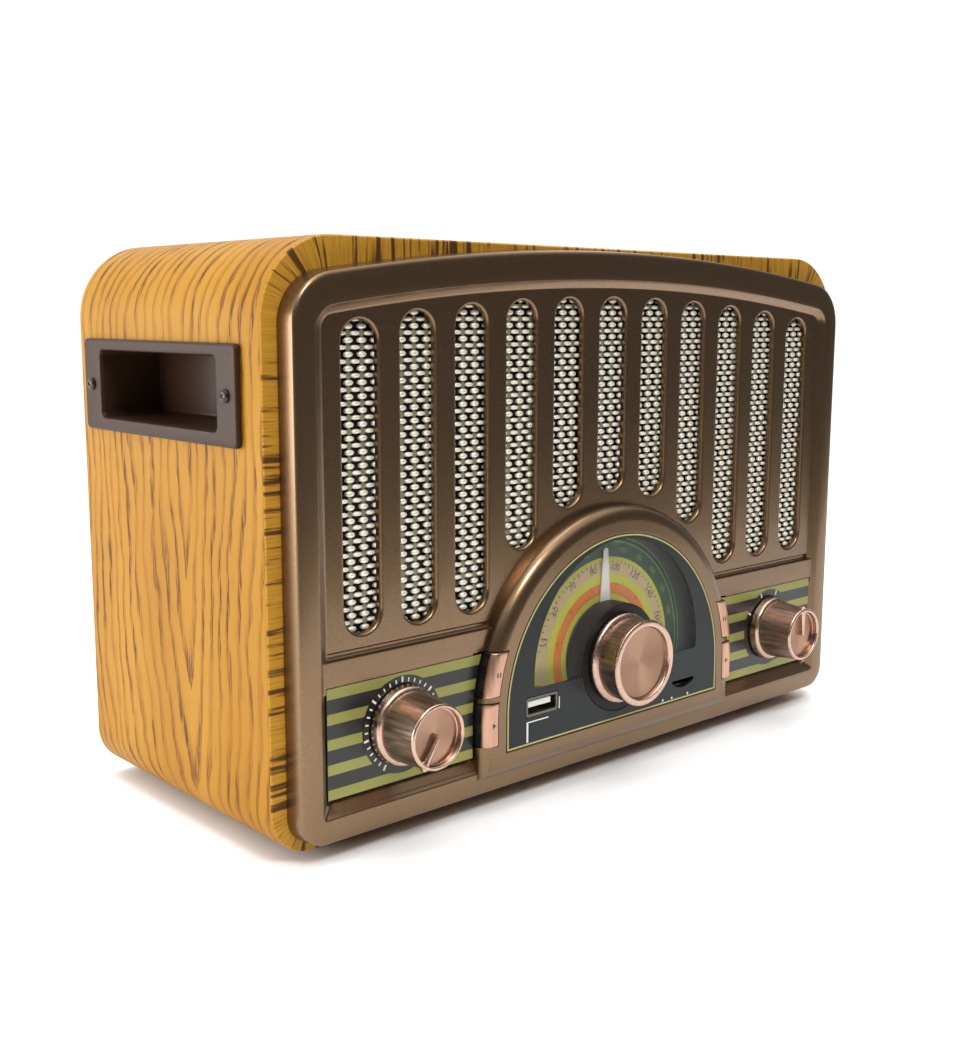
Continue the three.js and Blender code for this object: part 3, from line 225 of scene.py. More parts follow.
def oak():
    """Golden oak veneer. In the UV map U runs with the grain, round the cabinet, and V runs across it."""
    m = Shader("oak", Roughness=0.5)
    m.surface.inputs["Specular IOR Level"].default_value = 0.12
    length, breadth, grain_space = m.grain_coordinates()
    wander = m.noise(m.mapped(grain_space, (8, 15, 1)), detail=2.0)
    waver = m.noise(m.mapped(grain_space, (48, 120, 1)), detail=2.0)
    shifted = m.offset(m.offset(breadth, wander, 0.026), waver, 0.0062)
    # Low on each side the cut leaves the tree's heart, which closes the rings into nested points.
    left_side = m.math("MAXIMUM", m.math("SUBTRACT", length, LEFT_HEART), 0.0)
    right_side = m.math("MAXIMUM", m.math("SUBTRACT", RIGHT_HEART, length), 0.0)
    lean = m.math("MULTIPLY", m.math("ADD", left_side, right_side), HEART_LEAN)
    from_heart = m.math("SUBTRACT", shifted, HEART_DEPTH)
    across = m.math("POWER", m.math("ABSOLUTE", from_heart), RING_SHARPNESS)
    along = m.math("POWER", m.math("ABSOLUTE", lean), RING_SHARPNESS)
    radius = m.math("POWER", m.math("ADD", across, along), 1 / RING_SHARPNESS)
    ring = m.math("FRACT", m.math("MULTIPLY", radius, RINGS_PER_METRE))
    band = m.math("MULTIPLY", m.spread(ring, 0.40, 0.82, smooth=True), m.spread(ring, 1.0, 0.93))
    core = m.math("MULTIPLY", m.spread(ring, 0.54, 0.78, smooth=True), m.spread(ring, 1.0, 0.95))

    strokes = m.noise(m.mapped(grain_space, (95, 1500, 1)), detail=2.0, roughness=0.55)
    pores = m.spread(strokes, 0.42, 0.54, smooth=True)
    gaps = m.spread(m.noise(m.mapped(grain_space, (26, 90, 1)), detail=2.0), 0.38, 0.60, 0.12, 1.0)
    dark = m.math("MULTIPLY", m.math("MULTIPLY", pores, gaps), core)
    stray = m.math("MULTIPLY", m.spread(strokes, 0.63, 0.72, smooth=True), 0.5)
    patches = m.noise(m.mapped(grain_space, (7, 20, 1)), detail=1.0)
    silk = m.noise(m.mapped(grain_space, (30, 900, 1)), detail=2.0)

    ground = m.ramp(patches, [
        (0.3, srgb(150, 103, 16)), (0.5, srgb(160, 114, 24)), (0.72, srgb(170, 126, 38)),
    ])
    ground = m.mix(m.spread(silk, 0.3, 0.75, 0.0, 0.3), ground, srgb(148, 98, 14))
    stained = m.mix(m.math("MULTIPLY", band, 0.45), ground, srgb(132, 82, 12))
    lined = m.mix(m.math("MULTIPLY", dark, 0.95), stained, srgb(78, 40, 6))
    m.set(m.surface, "Base Color", m.mix(stray, lined, srgb(104, 62, 12)))
    m.bump(m.math("MULTIPLY", m.math("ADD", dark, stray), -1.0), 0.0001, 0.5)
    return m.material


def oak_edge():
    """The band of veneer round the cabinet's front edge, whose grain runs across it."""
    m = Shader("oak_edge", Roughness=0.55)
    m.surface.inputs["Specular IOR Level"].default_value = 0.25
    _, _, space = m.grain_coordinates()
    stripes = m.noise(m.mapped(space, (340, 18, 1)), detail=3.0, roughness=0.62)
    cluster = m.noise(m.mapped(space, (22, 1, 1)), detail=1.0)
    ticks = m.spread(m.math("ADD", stripes, m.math("MULTIPLY", cluster, 0.3)), 0.65, 0.75, smooth=True)
    fine = m.noise(m.mapped(space, (1400, 60, 1)), detail=2.0)
    ground = m.mix(m.spread(fine, 0.3, 0.7), srgb(166, 116, 30), srgb(188, 140, 44))
    m.set(m.surface, "Base Color", m.mix(m.math("MULTIPLY", ticks, 0.95), ground, srgb(70, 40, 12)))
    m.bump(ticks, 0.0001, -0.5)
    return m.material


def bronze():
    """The moulding's metallic bronze coat, with fine flake and a little orange peel."""
    m = Shader("bronze_coat", Metallic=0.95, Roughness=0.3, Coat_Weight=0.35, Coat_Roughness=0.12)
    place = m.coordinates()
    flake = m.noise(place, scale=2600, detail=1.0)
    cloud = m.noise(place, scale=9, detail=2.0)
    base = m.mix(m.spread(flake, 0.3, 0.7), srgb(116, 92, 66), srgb(132, 106, 78))
    base = m.mix(m.spread(cloud, 0.35, 0.7, 0.0, 0.25), base, srgb(106, 83, 58))
    m.set(m.surface, "Base Color", base)
    m.set(m.surface, "Roughness", m.spread(cloud, 0.3, 0.7, 0.27, 0.34))
    peel = m.noise(place, scale=420, detail=2.0)
    m.bump(m.math("ADD", m.math("MULTIPLY", flake, 0.25), peel), 0.00004, 0.3)
    return m.material


def pressed_steel():
    """The grille mesh's pale lacquered bumps. The web between them gets a darker copy, painted shade."""
    m = Shader("pressed_steel", Metallic=0.5, Roughness=0.4)
    place = m.coordinates()
    tone = m.noise(place, scale=900, detail=2.0)
    m.set(m.surface, "Base Color", m.mix(tone, srgb(224, 217, 198), srgb(242, 236, 220)))
    m.set(m.surface, "Roughness", m.spread(tone, 0.3, 0.7, 0.36, 0.46))
    m.bump(m.noise(place, scale=3000, detail=2.0), 0.00002, 0.3)
    return m.material


def mesh_junction():
    """The web between the grille mesh's bumps: a dull greenish grey, darkened as painted shade for the web
    lying lower than the bumps.
    """
    m = Shader("mesh_junction", Metallic=0.4, Roughness=0.55)
    tone = m.noise(m.coordinates(), scale=1200, detail=2.0)
    m.set(m.surface, "Base Color", m.mix(tone, srgb(112, 114, 92), srgb(142, 142, 118)))
    m.bump(tone, 0.00003, 0.4)
    return m.material


def grille_cloth():
    """The black speaker cloth behind the mesh."""
    m = Shader("speaker_cloth", Roughness=0.95)
    place = m.coordinates()
    weave = m.add("TexWave", {"Vector": place, "Scale": 700.0, "Distortion": 0.4}, bands_direction="Z")
    m.set(m.surface, "Base Color", m.mix(weave.outputs["Fac"], srgb(9, 9, 10), srgb(20, 20, 22)))
    m.bump(weave.outputs["Fac"], 0.0001, 0.5)
    return m.material


def printed(name, colour, other, roughness=0.35, hatch=False):
    """Printing ink with slight variation, or with a fine diagonal hatch."""
    m = Shader(name, Roughness=roughness)
    place = m.coordinates()
    if hatch:
        turned = m.add("Mapping", {"Vector": place, "Rotation": (0, math.radians(-42), 0)}).outputs[0]
        wave = m.add("TexWave", {"Vector": turned, "Scale": 420.0, "Distortion": 0.3}, bands_direction="X")
        factor = wave.outputs["Fac"]
        m.set(m.surface, "Metallic", 0.35)
    else:
        factor = m.noise(place, scale=500, detail=3.0)
    m.set(m.surface, "Base Color", m.mix(factor, srgb(*colour), srgb(*other)))
    m.bump(factor, 0.00002, 0.25)
    return m.material


def charcoal_print():
    """The lens's dark grey print, with a fine speck."""
    m = Shader("charcoal_print", Roughness=0.4)
    m.surface.inputs["Specular IOR Level"].default_value = 0.3
    place = m.coordinates()
    speck = m.noise(place, scale=1500, detail=2.0)
    cloud = m.noise(place, scale=25, detail=2.0)
    base = m.mix(m.spread(speck, 0.3, 0.7), srgb(26, 30, 30), srgb(33, 37, 37))
    m.set(m.surface, "Base Color", m.mix(m.spread(cloud, 0.3, 0.7, 0, 0.4), base, srgb(22, 26, 27)))
    m.bump(speck, 0.00001, 0.3)
    return m.material


def clear_acrylic():
    """The lens's clear window."""
    m = Shader("clear_acrylic", Roughness=0.05, Alpha=0.04, IOR=1.49)
    tint = m.noise(m.coordinates(), scale=40)
    m.set(m.surface, "Base Color", m.mix(tint, srgb(150, 155, 155), srgb(165, 170, 170)))
    m.set(m.surface, "Roughness", m.spread(m.noise(m.coordinates(), scale=90), 0.3, 0.7, 0.04, 0.07))
    return m.material


def copper(name, bright, dark, roughness=0.27, brushed=None, contrast=1.0):
    """Antique copper plate. brushed is the scale of its streaks along X, Y and Z."""
    m = Shader(name, Metallic=1.0, Roughness=roughness)
    place = m.coordinates()
    streak_space = m.mapped(place, brushed) if brushed else place
    streak = m.noise(streak_space, scale=1 if brushed else 700, detail=3.0, roughness=0.6)
    m.set(m.surface, "Base Color", m.mix(
        m.spread(streak, 0.32, 0.68, 0.5 - contrast / 2, 0.5 + contrast / 2), srgb(*dark), srgb(*bright),
    ))
    m.set(m.surface, "Roughness", m.spread(streak, 0.3, 0.7, roughness - 0.04, roughness + 0.06))
    m.bump(streak, 0.00002, 0.25)
    return m.material


def spun_copper():
    """The knobs' faces: copper with the fine circular marks of a lathe."""
    m = Shader("copper_face", Metallic=1.0, Roughness=0.3)
    m.surface.inputs["Anisotropic"].default_value = 0.9
    m.set(m.surface, "Tangent", m.add("Tangent", direction_type="RADIAL", axis="Y").outputs[0])
    tone = m.noise(m.coordinates(), scale=60, detail=1.0)
    m.set(m.surface, "Base Color", m.mix(m.spread(tone, 0.3, 0.7), srgb(150, 118, 98), srgb(166, 130, 108)))
    return m.material


def moulded(name, colour, other, roughness=0.45, grain=900, depth=0.00004, shine=0.3):
    """Moulded plastic with a fine texture."""
    m = Shader(name, Roughness=roughness)
    m.surface.inputs["Specular IOR Level"].default_value = shine
    place = m.coordinates()
    fine = m.noise(place, scale=grain, detail=3.0)
    cloud = m.noise(place, scale=20, detail=2.0)
    m.set(m.surface, "Base Color", m.mix(m.spread(cloud, 0.35, 0.65), srgb(*colour), srgb(*other)))
    m.set(m.surface, "Roughness", m.spread(fine, 0.3, 0.7, roughness - 0.05, roughness + 0.06))
    m.bump(fine, depth, 0.5)
    return m.material


def metal(name, colour, other, roughness=0.25, metallic=1.0):
    """Plated metal with faint scratches."""
    m = Shader(name, Metallic=metallic, Roughness=roughness)
    place = m.coordinates()
    scratches = m.noise(m.mapped(place, (300, 2400, 900)), detail=2.0)
    m.set(m.surface, "Base Color", m.mix(scratches, srgb(*colour), srgb(*other)))
    m.set(m.surface, "Roughness", m.spread(scratches, 0.3, 0.7, roughness, roughness + 0.1))
    m.bump(scratches, 0.00001, 0.3)
    return m.material


def circuit_board():
    """Green lacquer over lighter copper tracks."""
    m = Shader("circuit_board", Roughness=0.4)
    place = m.coordinates()
    cells = m.add("TexVoronoi", {"Vector": place, "Scale": 260.0}, feature="DISTANCE_TO_EDGE")
    tracks = m.spread(cells.outputs["Distance"], 0.02, 0.06, 1.0, 0.0)
    m.set(m.surface, "Base Color", m.mix(tracks, srgb(30, 84, 52), srgb(70, 132, 84)))
    m.bump(tracks, 0.00005, 0.4)
    return m.material


MATERIALS = {
    "oak": oak(),
    "oak_edge": oak_edge(),
    "bronze": bronze(),
    "pressed_steel": pressed_steel(),
    "mesh_junction": mesh_junction(),
    "speaker_cloth": grille_cloth(),
    "gold_line": printed("gold_line", (160, 156, 92), (174, 168, 104), 0.35),
    "gold_stripe": printed("gold_stripe", (120, 120, 56), (156, 154, 84), 0.4, hatch=True),
    "panel_black": printed("panel_black", (17, 20, 18), (25, 28, 26), 0.3),
    "white_print": printed("white_print", (206, 208, 200), (226, 226, 220), 0.5),
    "dark_print": printed("dark_print", (66, 54, 46), (84, 70, 58), 0.5),
    "charcoal": charcoal_print(),
    "acrylic": clear_acrylic(),
    "copper_side": copper("copper_side", (198, 174, 164), (136, 112, 102), 0.32, (900, 40, 900), 0.85),
    "copper_face": spun_copper(),
    "copper_rim": copper("copper_rim", (204, 174, 156), (184, 152, 134), 0.24),
    "copper_keys": copper("copper_keys", (210, 168, 144), (184, 142, 120), 0.34, (400, 400, 40)),
    "black_skirt": moulded("black_skirt", (9, 8, 8), (13, 12, 12), 0.5, 900, 0.00001),
    "brown_plastic": moulded("brown_plastic", (56, 38, 27), (47, 32, 22), 0.34, 900, 0.00001, 0.1),
    "black_plastic": moulded("black_plastic", (24, 24, 25), (30, 30, 31), 0.55, 500, 0.00008),
    "gloss_black": moulded("gloss_black", (22, 21, 22), (28, 27, 28), 0.16, 900, 0.00001),
    "white_plastic": moulded("white_plastic", (226, 224, 214), (216, 214, 204), 0.35),
    "steel": metal("steel", (150, 152, 155), (174, 176, 178), 0.26),
    "dark_steel": metal("dark_steel", (96, 92, 82), (118, 114, 102), 0.35),
    "screw_black": metal("screw_black", (52, 48, 46), (78, 72, 68), 0.28),
    "chrome": metal("chrome", (150, 153, 157), (168, 170, 173), 0.12),
    "iron": metal("iron", (76, 78, 80), (96, 98, 100), 0.45),
    "rubber": moulded("rubber", (18, 18, 18), (24, 24, 24), 0.85, 700, 0.0001),
    "circuit_board": circuit_board(),
    "paper": moulded("speaker_paper", (26, 26, 28), (36, 36, 38), 0.9, 400, 0.0002),
    "ferrite": moulded("ferrite", (50, 50, 53), (60, 60, 63), 0.6, 600, 0.00008),
    "battery_wrap": moulded("battery_wrap", (30, 84, 150), (36, 94, 164), 0.28, 300, 0.00003),
    "board": moulded("bare_board", (168, 130, 84), (150, 114, 72), 0.8, 500, 0.0002),
}

SCALE_COLOURS = {
    "grey": ((84, 80, 77), (94, 90, 86)),
    "core": ((70, 62, 62), (82, 73, 72)),
    "lime": ((178, 178, 42), (190, 190, 58)),
    "orange": ((206, 112, 30), (214, 124, 40)),
    "tan": ((180, 158, 108), (192, 170, 120)),
    "green": ((50, 68, 46), (62, 82, 58)),
    "leaf": ((104, 142, 76), (120, 156, 90)),
    "rust": ((170, 72, 28), (184, 86, 36)),
}
for scale_name, (scale_colour, scale_other) in SCALE_COLOURS.items():
    MATERIALS[f"scale_{scale_name}"] = printed(f"scale_{scale_name}", scale_colour, scale_other, 0.5)

# ---------------------------------------------------------------- mesh helpers


class Build:
    """Gathers points in millimetres and faces, then makes them a Blender mesh in metres."""

    def __init__(self):
        self.points = []
        self.faces = []
        self.face_materials = []
        self.uvs = []

    def face(self, indices, material=0, uv=None):
        self.faces.append(tuple(indices))
        self.face_materials.append(material)
        self.uvs.append(uv)

    def add_points(self, points):
        first = len(self.points)
        self.points.extend(points)
        return list(range(first, len(self.points)))

    def loft(self, loops, material=0, cap_first=True, ring=False):
        """Joins closed loops of equal length with quads. A ring's last loop is joined to its first."""
        rows = [self.add_points(loop) for loop in loops]
        pairs = list(zip(rows, rows[1:]))
        if ring:
            pairs.append((rows[-1], rows[0]))
        count = len(rows[0])
        for low, high in pairs:
            for i in range(count):
                j = (i + 1) % count
                self.face((low[i], low[j], high[j], high[i]), material)
        if ring:
            return
        if cap_first:
            self.face(reversed(rows[0]), material)
        self.face(rows[-1], material)

    def turn(self, profile, steps=96, materials=0, centre=(0, 0)):
        """Turns a profile of (radius, y) points about a line along Y through centre, given as (x, z).

        materials is one number, or one number for each band of the profile.
        """
        rows = []
        for radius, y in profile:
            if radius == 0:
                rows.append(self.add_points([(centre[0], y, centre[1])]))
                continue
            rows.append(self.add_points([
                (
                    centre[0] + radius * math.sin(2 * math.pi * k / steps), y,
                    centre[1] + radius * math.cos(2 * math.pi * k / steps),
                )
                for k in range(steps)
            ]))
        for band, (low, high) in enumerate(zip(rows, rows[1:])):
            chosen = materials[band] if isinstance(materials, (list, tuple)) else materials
            for k in range(steps):
                n = (k + 1) % steps
                if len(low) == 1:
                    self.face((low[0], high[k], high[n]), chosen)
                elif len(high) == 1:
                    self.face((low[k], high[0], low[n]), chosen)
                else:
                    self.face((low[k], high[k], high[n], low[n]), chosen)

    def mesh(self, name, materials):
        mesh = bpy.data.meshes.new(name)
        mesh.from_pydata([Vector(p) * MM for p in self.points], [], self.faces)
        for material in materials:
            mesh.materials.append(MATERIALS[material])
        mesh.polygons.foreach_set("material_index", self.face_materials)
        if any(uv is not None for uv in self.uvs):
            layer = mesh.uv_layers.new(name="UVMap")
            for polygon, uv in zip(mesh.polygons, self.uvs):
                for loop, pair in zip(polygon.loop_indices, uv or [(0, 0)] * polygon.loop_total):
                    layer.data[loop].uv = (pair[0] * MM, pair[1] * MM)
        mesh.validate()
        face_outwards(mesh)
        return mesh


def face_outwards(mesh):
    """Turns every face of a closed mesh outwards."""
    work = bmesh.new()
    work.from_mesh(mesh)
    bmesh.ops.recalc_face_normals(work, faces=work.faces)
    work.to_mesh(mesh)
    work.free()


def loose_object(name, mesh):
    obj = bpy.data.objects.new(name, mesh)
    bpy.context.collection.objects.link(obj)
    return obj


def baked(obj):
    """The object's mesh with its modifiers applied, and the modifiers gone."""
    evaluated = obj.evaluated_get(bpy.context.evaluated_depsgraph_get())
    mesh = bpy.data.meshes.new_from_object(evaluated)
    obj.modifiers.clear()
    obj.data = mesh
    return obj


def combine(obj, others, operation):
    """Cuts the others out of obj, or joins them to it, and deletes them."""
    for other in others:
        modifier = obj.modifiers.new(other.name, "BOOLEAN")
        modifier.operation = operation
        modifier.solver = "MANIFOLD"
        modifier.object = other
    baked(obj)
    for other in others:
        bpy.data.objects.remove(other)
    return obj


def soften(obj, width, segments=2, angle=35):
    """Rounds the object's sharp edges."""
    bevel = obj.modifiers.new("soften", "BEVEL")
    bevel.width = width * MM
    bevel.segments = segments
    bevel.limit_method = "ANGLE"
    bevel.angle_limit = math.radians(angle)
    bevel.harden_normals = False
    return obj


def smooth(obj, angle=35):
    """Smooth shading that keeps edges sharper than the angle, with flat faces kept flat."""
    mesh = obj.data
    mesh.polygons.foreach_set("use_smooth", [True] * len(mesh.polygons))
    mesh.set_sharp_from_angle(angle=math.radians(angle))
    weighted = obj.modifiers.new("even_normals", "WEIGHTED_NORMAL")
    weighted.keep_sharp = True
    weighted.weight = 80
    return obj


def finish_piece(obj, body, replaces=(), angle=35):
    """Shades the piece, parents it to its body's empty and hides the nodes it replaces."""
    smooth(obj, angle)
    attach(obj, body)
    if replaces:
        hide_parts(*replaces)
    return obj


def piece(name, build, materials, body, replaces=(), angle=35, rounding=0.0):
    """Makes a finished piece of what was gathered, with its sharp edges rounded if asked."""
    obj = loose_object(name, build.mesh(name, materials))
    if rounding:
        baked(soften(obj, rounding))
    return finish_piece(obj, body, replaces, angle)


# ---------------------------------------------------------------- outlines, in X and Z


def arc(centre_x, centre_z, radius, start, end, steps):
    """Points of an arc, ends included. Angles are degrees from +X towards +Z."""
    return [
        (
            centre_x + radius * math.cos(math.radians(start + (end - start) * k / steps)),
            centre_z + radius * math.sin(math.radians(start + (end - start) * k / steps)),
        )
        for k in range(steps + 1)
    ]


def at_y(points, y):
    """An outline in X and Z, placed at a Y."""
    return [(x, y, z) for x, z in points]


def swung(x, z, angle):
    """A point turned clockwise about the origin by an angle in radians."""
    return (x * math.cos(angle) + z * math.sin(angle), -x * math.sin(angle) + z * math.cos(angle))


def rounded_rectangle(x0, x1, z0, z1, radius, steps=6, top_radius=None):
    """A rectangle with round corners, whose upper two can have a radius of their own."""
    top = radius if top_radius is None else top_radius
    return (
        arc(x1 - radius, z0 + radius, radius, -90, 0, steps)
        + arc(x1 - top, z1 - top, top, 0, 90, steps)
        + arc(x0 + top, z1 - top, top, 90, 180, steps)
        + arc(x0 + radius, z0 + radius, radius, 180, 270, steps)
    )


def arched(inset, lower_top=0.0, steps=10, arch_steps=48):
    """The bezel's outline moved inwards, always with the same number of points."""
    half = BEZEL["half"] - inset
    low = at_height(BEZEL["bottom"] + inset)
    radius = BEZEL["arch"] - inset - lower_top
    top_corner = max(BEZEL["top_corner"] - inset, 1.2)
    bottom_corner = max(BEZEL["bottom_corner"] - inset, 1.2)
    centre = at_height(BEZEL["top"] - BEZEL["arch"])
    corner_x = half - top_corner
    corner_z = centre + math.sqrt((radius - top_corner) ** 2 - corner_x ** 2)
    tilt = math.degrees(math.atan2(corner_x, corner_z - centre))
    return (
        arc(half - bottom_corner, low + bottom_corner, bottom_corner, -90, 0, steps)
        + arc(corner_x, corner_z, top_corner, 0, 90 - tilt, steps)
        + arc(0, centre, radius, 90 - tilt, 90 + tilt, arch_steps)[1:-1]
        + arc(-corner_x, corner_z, top_corner, 90 + tilt, 180, steps)
        + arc(bottom_corner - half, low + bottom_corner, bottom_corner, 180, 270, steps)
    )


def dee(radius, bottom, steps=96):
    """A half disc on straight legs."""
    low = at_height(bottom)
    return [(-radius, low), (radius, low)] + arc(0, at_height(DIAL_CENTRE), radius, 0, 180, steps)


def stadium(x, low, high, half, steps=14):
    """An upright slot with round ends."""
    return (
        arc(x, high - half, half, 0, 180, steps)
        + arc(x, low + half, half, 180, 360, steps)
    )


def slot_places():
    """Each grille slot's X, lower end and upper end. The middle ones stop clear of the arch."""
    middle = (SLOT_COUNT - 1) / 2
    places = []
    for i in range(SLOT_COUNT):
        x = (i - middle) * SLOT_PITCH
        top = SLOT_TOP - SLOT_TOP_ARC + math.sqrt(SLOT_TOP_ARC ** 2 - x * x)
        bottom = SLOT_BOTTOM
        if abs(i - middle) <= 2:
            bottom = DIAL_CENTRE + math.sqrt(SLOT_ARC_RADIUS ** 2 - x * x)
        places.append((x, at_height(bottom), at_height(top)))
    return places


# ---------------------------------------------------------------- cabinet


HANDLE = {"near": 10.3, "far": 105.5, "low": 122, "high": 152}
POCKET = {"near": 21.5, "far": 94, "low": 126.4, "high": 148.2}
POCKET_MARGIN = 1.9  # how much wider the cabinet's cut-out is than the cup's pocket

VENEER, EDGE_BAND, BARE_BOARD = range(3)


def cabinet_loop(inset, y, steps=16):
    """One loop round the cabinet, moved inwards."""
    half = WIDTH / 2 - inset
    outline = rounded_rectangle(
        -half, half, at_height(inset), at_height(HEIGHT - inset), max(BOTTOM_CORNER - inset, 1),
        steps, max(TOP_CORNER - inset, 1),
    )
    return at_y(outline, y)


def handle_cutter(side):
    """A block that cuts the handle's opening out of one side of the cabinet."""
    low_y, high_y = at_depth(POCKET["near"] - POCKET_MARGIN), at_depth(POCKET["far"] + POCKET_MARGIN)
    low_z, high_z = at_height(POCKET["low"] - POCKET_MARGIN), at_height(POCKET["high"] + POCKET_MARGIN)
    spare = 2
    cutter = Build()
    cutter.loft([
        [(x, low_y, low_z), (x, high_y, low_z), (x, high_y, high_z), (x, low_y, high_z)]
        for x in sorted((side * (WIDTH / 2 - WALL - spare), side * (WIDTH / 2 + spare)))
    ])
    return loose_object(f"cutter_handle_{side}", cutter.mesh("cutter", []))


def cabinet():
    """The sleeve: veneer round the outside, an edge band in front, bare board inside and behind."""
    front, back = at_depth(0), at_depth(DEPTH)
    # Each section is (inset, y), from the back over the outside to the front and back along the inside.
    sections = [
        (WALL, back), (0.8, back), (0.25, back - 0.3), (0, back - 1),
        (0, back - DEPTH * 0.35), (0, back - DEPTH * 0.7), (0, front + 1.2),
        (0.12, front + 0.45), (0.4, front + 0.1), (0.7, front), (WALL, front), (WALL, back),
    ]
    bands = [BARE_BOARD] + [VENEER] * 6 + [EDGE_BAND] * 3 + [BARE_BOARD]
    build = Build()
    loops = [cabinet_loop(inset, y) for inset, y in sections]
    count = len(loops[0])
    # The distance round the outside, which every loop shares as its U.
    lengths = [0.0]
    outside = cabinet_loop(0, front)
    for a, b in zip(outside, outside[1:] + outside[:1]):
        lengths.append(lengths[-1] + math.dist(a, b))
    rows = [build.add_points(loop) for loop in loops[:-1]]
    rows.append(rows[0])
    for band, material in enumerate(bands):
        low, high = rows[band], rows[band + 1]
        # V is the depth on the veneer, and the inset on the edge band.
        near, far = (y - front if material == VENEER else inset for inset, y in sections[band:band + 2])
        for i in range(count):
            j = (i + 1) % count
            uv = [(lengths[i], near), (lengths[i + 1], near), (lengths[i + 1], far), (lengths[i], far)]
            build.face((low[i], low[j], high[j], high[i]), material, uv)
    obj = loose_object("cabinet", build.mesh("cabinet", ["oak", "oak_edge", "board"]))
    combine(obj, [handle_cutter(side) for side in (-1, 1)], "DIFFERENCE")
    finish_piece(obj, "radio", ["cabinet_shell"], angle=40)


# ---------------------------------------------------------------- front moulding


def flared(outline_at, front, rounding, back, steps=4):
    """Loops of a cutter whose mouth opens out by a quarter round of the given radius."""
    loops = [at_y(outline_at(0), back)]
    for k in range(steps + 1):
        angle = math.radians(90 * k / steps)
        loops.append(at_y(
            outline_at(rounding * (1 - math.cos(angle))), front + rounding * (1 - math.sin(angle)),
        ))
    loops.append(at_y(outline_at(rounding), front - 3))
    return loops


def lofted_object(name, loops, ring=False):
    """A loose body lofted through loops, to join to another or to cut out of it."""
    build = Build()
    build.loft(loops, ring=ring)
    return loose_object(name, build.mesh(name, ["bronze"]))


def rim_sections():
    """The rim in section, as (inset, depth, how much lower the top runs) from the outer wall inwards."""
    crown = RIM_FRONT
    edge = 1.1
    draft = 0.6
    points = [(0.0, -0.3, 0.0), (draft * 0.2, -1.5, 0.0), (draft, crown + 0.2 + edge, 0.0)]
    for k in range(1, 6):
        angle = math.radians(90 * k / 5)
        run = 1 - math.cos(angle)
        points.append((draft + edge * run, crown + 0.2 + edge * (1 - math.sin(angle)), 1.5 * run))
    points += [(2.6, crown + 0.06, 1.6), (4.6, crown, 1.7), (6.6, crown + 0.05, 1.7)]
    points += [(8.0, crown + 0.18, 1.7)]
    points += [(8.35, crown + 0.3, 1.7), (8.65, crown + 0.6, 1.65), (9.2, crown + 1.05, 1.5)]
    points += [(11.0, PANEL_FRONT - 0.36, 1.0), (11.6, PANEL_FRONT - 0.1, 0.9)]
    points += [(RIM_INSET + 0.1, PANEL_FRONT + 0.05, 0.8), (RIM_INSET + 0.1, PANEL_BACK, 0.8)]
    points += [(RIM_INSET, -0.3, 0.8)]
    return points


def arch_body():
    """The solid half disc with a quarter-round shoulder, before the dial is opened in it."""
    shoulder_width, shoulder_depth, steps = 5.6, 4.2, 9
    loops = [at_y(dee(ARCH_RADIUS, ARCH_BOTTOM), at_depth(PANEL_BACK))]
    for k in range(steps + 1):
        angle = math.radians(90 * k / steps)
        inset = shoulder_width * (1 - math.cos(angle))
        y = ARCH_FRONT + shoulder_depth * (1 - math.sin(angle))
        loops.append(at_y(dee(ARCH_RADIUS - inset, ARCH_BOTTOM + inset), at_depth(y)))
    return lofted_object("arch", loops)


def bezel():
    """The front moulding: rim, panel and arch in one, with every opening cut."""
    rim = lofted_object("bezel", [
        at_y(arched(inset, lower_top), at_depth(depth)) for inset, depth, lower_top in rim_sections()
    ], ring=True)
    panel = lofted_object("panel", [
        at_y(arched(RIM_INSET - 2), at_depth(PANEL_BACK)),
        at_y(arched(RIM_INSET - 2), at_depth(PANEL_FRONT)),
    ])
    # A wall behind the panel's edge reaches back into the cabinet.
    lip = lofted_object("lip", [
        at_y(arched(RIM_INSET - inset), at_depth(depth))
        for inset, depth in ((3, PANEL_BACK - 1), (3, LIP_BACK), (1, LIP_BACK), (1, PANEL_BACK - 1))
    ], ring=True)
    combine(rim, [panel, lip] + [strip(side) for side in (-1, 1)], "UNION")
    cutters = [window_cutter(side) for side in (-1, 1)]
    for i, (x, low, high) in enumerate(slot_places()):
        def outline(grow, x=x, low=low, high=high):
            return stadium(x, low - grow, high + grow, SLOT_HALF + grow)
        loops = flared(outline, at_depth(PANEL_FRONT), SLOT_ROUNDING, at_depth(CUT_BACK))
        cutters.append(lofted_object(f"slot_{i}", loops))
    cutters += [groove_cutter(side) for side in (-1, 1)]
    combine(rim, cutters, "DIFFERENCE")

    # The arch is joined on after the windows are cut, so that they run in beneath it.
    combine(rim, [arch_body()], "UNION")
    def dial_outline(grow):
        return dee(DIAL_RADIUS + grow, DIAL_BOTTOM - grow)
    loops = flared(dial_outline, at_depth(ARCH_FRONT), DIAL_ROUNDING, at_depth(DIAL_CUT_BACK))
    openings = [lofted_object("dial_opening", loops)]
    openings += [button_cutter(side, middle) for side in (-1, 1) for middle in BUTTON_HEIGHTS]
    combine(rim, openings, "DIFFERENCE")
    finish_piece(rim, "radio", ["front_bezel"], angle=28)


def strip(side):
    """The raised strip between the groove and a control window, with softened edges."""
    x0, x1 = sorted((side * (DIAL_RADIUS + 2), side * STRIP_OUTER))
    low = at_height(WINDOW_HIGH - 2)
    def outline(inset):
        high = at_height(STRIP_TOP - inset)
        return [(x0, low), (x1, low), (x1, high), (x0, high)]
    return lofted_object(f"strip_{side}", [
        at_y(outline(0), at_depth(PANEL_BACK)), at_y(outline(0), at_depth(STRIP_FRONT + 0.5)),
        at_y(outline(0.15), at_depth(STRIP_FRONT + 0.15)), at_y(outline(0.5), at_depth(STRIP_FRONT)),
    ])


